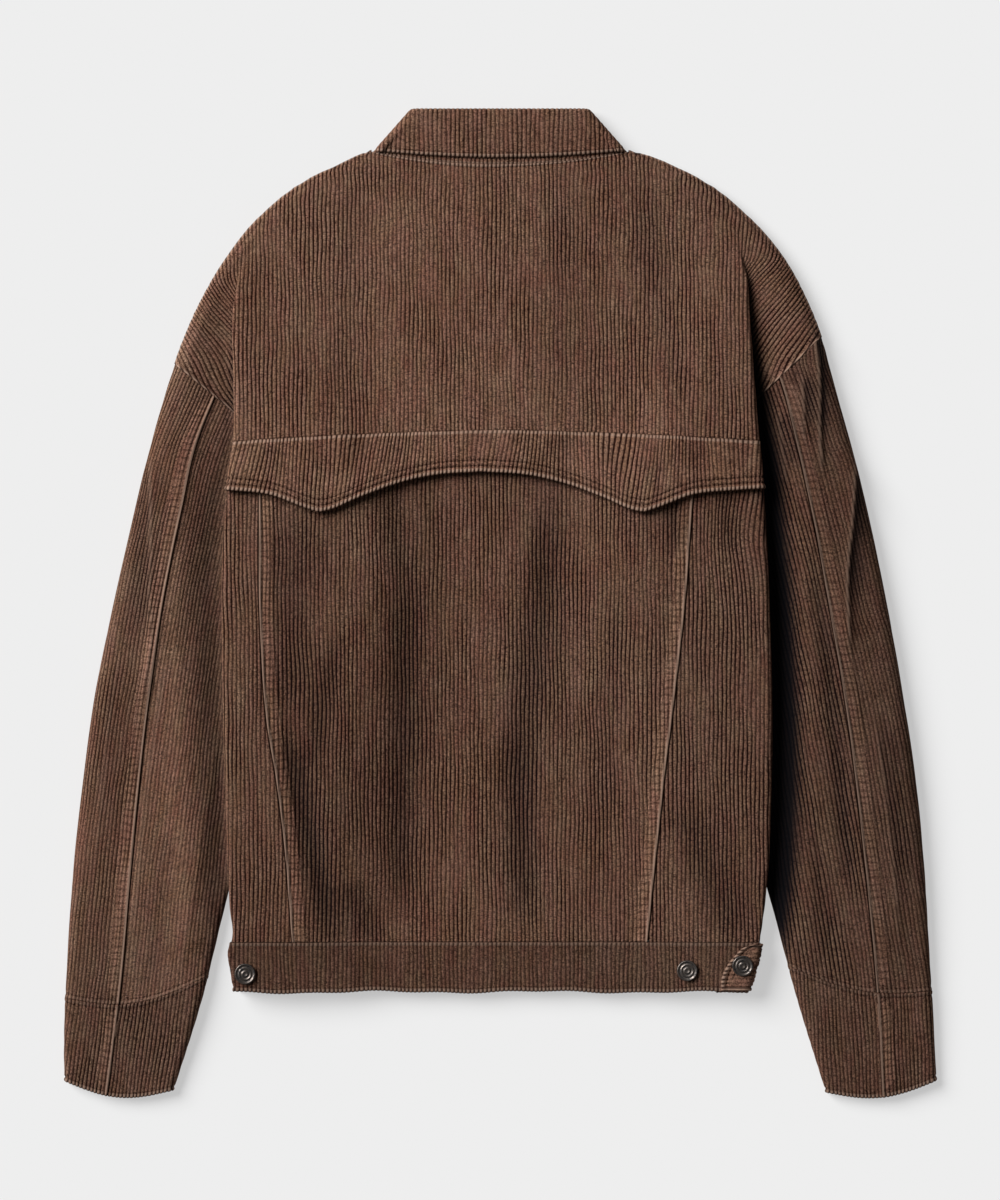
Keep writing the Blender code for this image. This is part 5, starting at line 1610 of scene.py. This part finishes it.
def make_button(name, spot, normal, finish):
    """A tack button: a cap with a rolled rim, a turned groove and a low middle."""
    shape = bmesh.new()
    corners = [shape.verts.new((share * BUTTON_RADIUS * MM, 0.0, up * MM)) for share, up in BUTTON_OUTLINE]
    edges = [shape.edges.new(pair) for pair in zip(corners, corners[1:])]
    turned = corners + edges
    full = {"angle": 2 * math.pi, "steps": BUTTON_TURNS, "use_merge": True}
    bmesh.ops.spin(shape, geom=turned, axis=(0, 0, 1), cent=(0, 0, 0), **full)
    bmesh.ops.remove_doubles(shape, verts=shape.verts, dist=1e-6)
    bmesh.ops.recalc_face_normals(shape, faces=shape.faces)
    leaning = Vector((0, 0, 1)).rotation_difference(Vector(normal)).to_matrix().to_4x4()
    shape.transform(Matrix.Translation([c * MM for c in spot]) @ leaning)
    mesh = bpy.data.meshes.new(name)
    shape.to_mesh(mesh)
    shape.free()
    mesh.shade_smooth()
    button = bpy.data.objects.new(f"{name}_cap", mesh)
    bpy.context.scene.collection.objects.link(button)
    mesh.materials.append(finish)
    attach(button, "root")
    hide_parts(name)


def surface_at(side, cloth, y):
    """A point of the back and its normal."""
    around = np.array([0.0, 1.0, 0.0])
    up = np.array([0.0, 0.0, 1.0])
    here, one, two = on_body(side, cloth + side * around, y + up)
    normal = np.cross(one - here, two - here)
    return here, normal / np.linalg.norm(normal)


def make_buttons(finish):
    over_band = BAND_CLOTH / 2.0 + BUTTON_GAP
    for name, side, out, y in WAIST_BUTTONS:
        here, normal = surface_at(side, out, y)
        make_button(name, here + normal * over_band, normal, finish)
    for name, side in (("waist_button_3", RIGHT), ("waist_button_4", LEFT)):
        cloth = tab_tip(side, TAB_BUTTON_HEIGHT) + TAB_BUTTON_FROM_TIP
        here, normal = surface_at(side, cloth, TAB_BUTTON_HEIGHT)
        make_button(name, here + normal * (over_band + TAB_GAP + TAB_CLOTH), normal, finish)
    for i, y in enumerate(FRONT_BUTTONS, 1):
        make_button(f"front_button_{i}", (0.0, y, BUTTON_HEIGHT), (0.0, 0.0, -1.0), finish)


# ---------------------------------------------------------------- floor, light and camera


def make_floor():
    shape = bmesh.new()
    bmesh.ops.create_grid(shape, x_segments=4, y_segments=4, size=FLOOR_HALF)
    mesh = bpy.data.meshes.new("floor")
    shape.to_mesh(mesh)
    shape.free()
    floor = bpy.data.objects.new("floor", mesh)
    floor.location = (0.0, 0.0, -FLOOR_DROP)
    bpy.context.scene.collection.objects.link(floor)
    finish, _, shader = new_material("plain paper")
    paper = (FLOOR_TONE, FLOOR_TONE, FLOOR_TONE, 1.0)
    set_sockets(shader, {"Base Color": paper, "Roughness": 1.0, "Specular IOR Level": 0.0})
    set_sockets(shader, {"Emission Color": WHITE, "Emission Strength": FLOOR_GLOW})
    mesh.materials.append(finish)


def make_light():
    scene = bpy.context.scene
    world = bpy.data.worlds.new("studio")
    world.use_nodes = True
    set_sockets(world.node_tree.nodes["Background"], {"Color": WHITE, "Strength": FILL})
    scene.world = world
    lamp = bpy.data.lights.new("window", "SUN")
    lamp.energy = KEY
    lamp.angle = math.radians(KEY_SOFTNESS)
    sun = bpy.data.objects.new("window", lamp)
    turn, lift = math.radians(KEY_TURN), math.radians(KEY_LIFT)
    towards = Vector((math.cos(turn) * math.cos(lift), math.sin(turn) * math.cos(lift), math.sin(lift)))
    sun.rotation_euler = towards.to_track_quat("Z", "Y").to_euler()
    scene.collection.objects.link(sun)
    scene.view_settings.view_transform = "Standard"


def make_camera():
    camera = bpy.data.cameras.new("above")
    camera.sensor_width = SENSOR
    camera.lens = SENSOR * CAMERA_HEIGHT / FRAME_HEIGHT
    camera.clip_end = 5.0 * CAMERA_HEIGHT
    stand = bpy.data.objects.new("above", camera)
    stand.location = (*FRAME_MIDDLE, CAMERA_HEIGHT)
    bpy.context.scene.collection.objects.link(stand)
    bpy.context.scene.camera = stand


def main():
    make_camera()
    make_light()
    make_floor()
    pile = corduroy_group()
    cloths = [make_corduroy(pile, name, *look) for name, look in FINISHES.items()]
    faded, rubbed_and_painted_highlight, darker_left_cloth, plain, shaded_deep, dark = cloths
    brass = make_brass()
    make_yoke(faded)
    make_flap(faded)
    make_centre_back(plain)
    make_side_backs(plain)
    make_fronts(plain)
    # The right sleeve and its cuff get darker copies of the cloth: painted shade for the side away
    # from the light. The waistband shares the darkest; the left sleeve and cuff get a darker copy too.
    make_sleeves({LEFT: {"top": darker_left_cloth, "under": rubbed_and_painted_highlight}, RIGHT: {"top": dark, "under": shaded_deep}})
    make_cuffs({LEFT: darker_left_cloth, RIGHT: shaded_deep})
    make_waistband(dark)
    make_tabs(rubbed_and_painted_highlight)
    make_collar(faded)
    make_stand(faded)
    make_buttons(brass)


main()
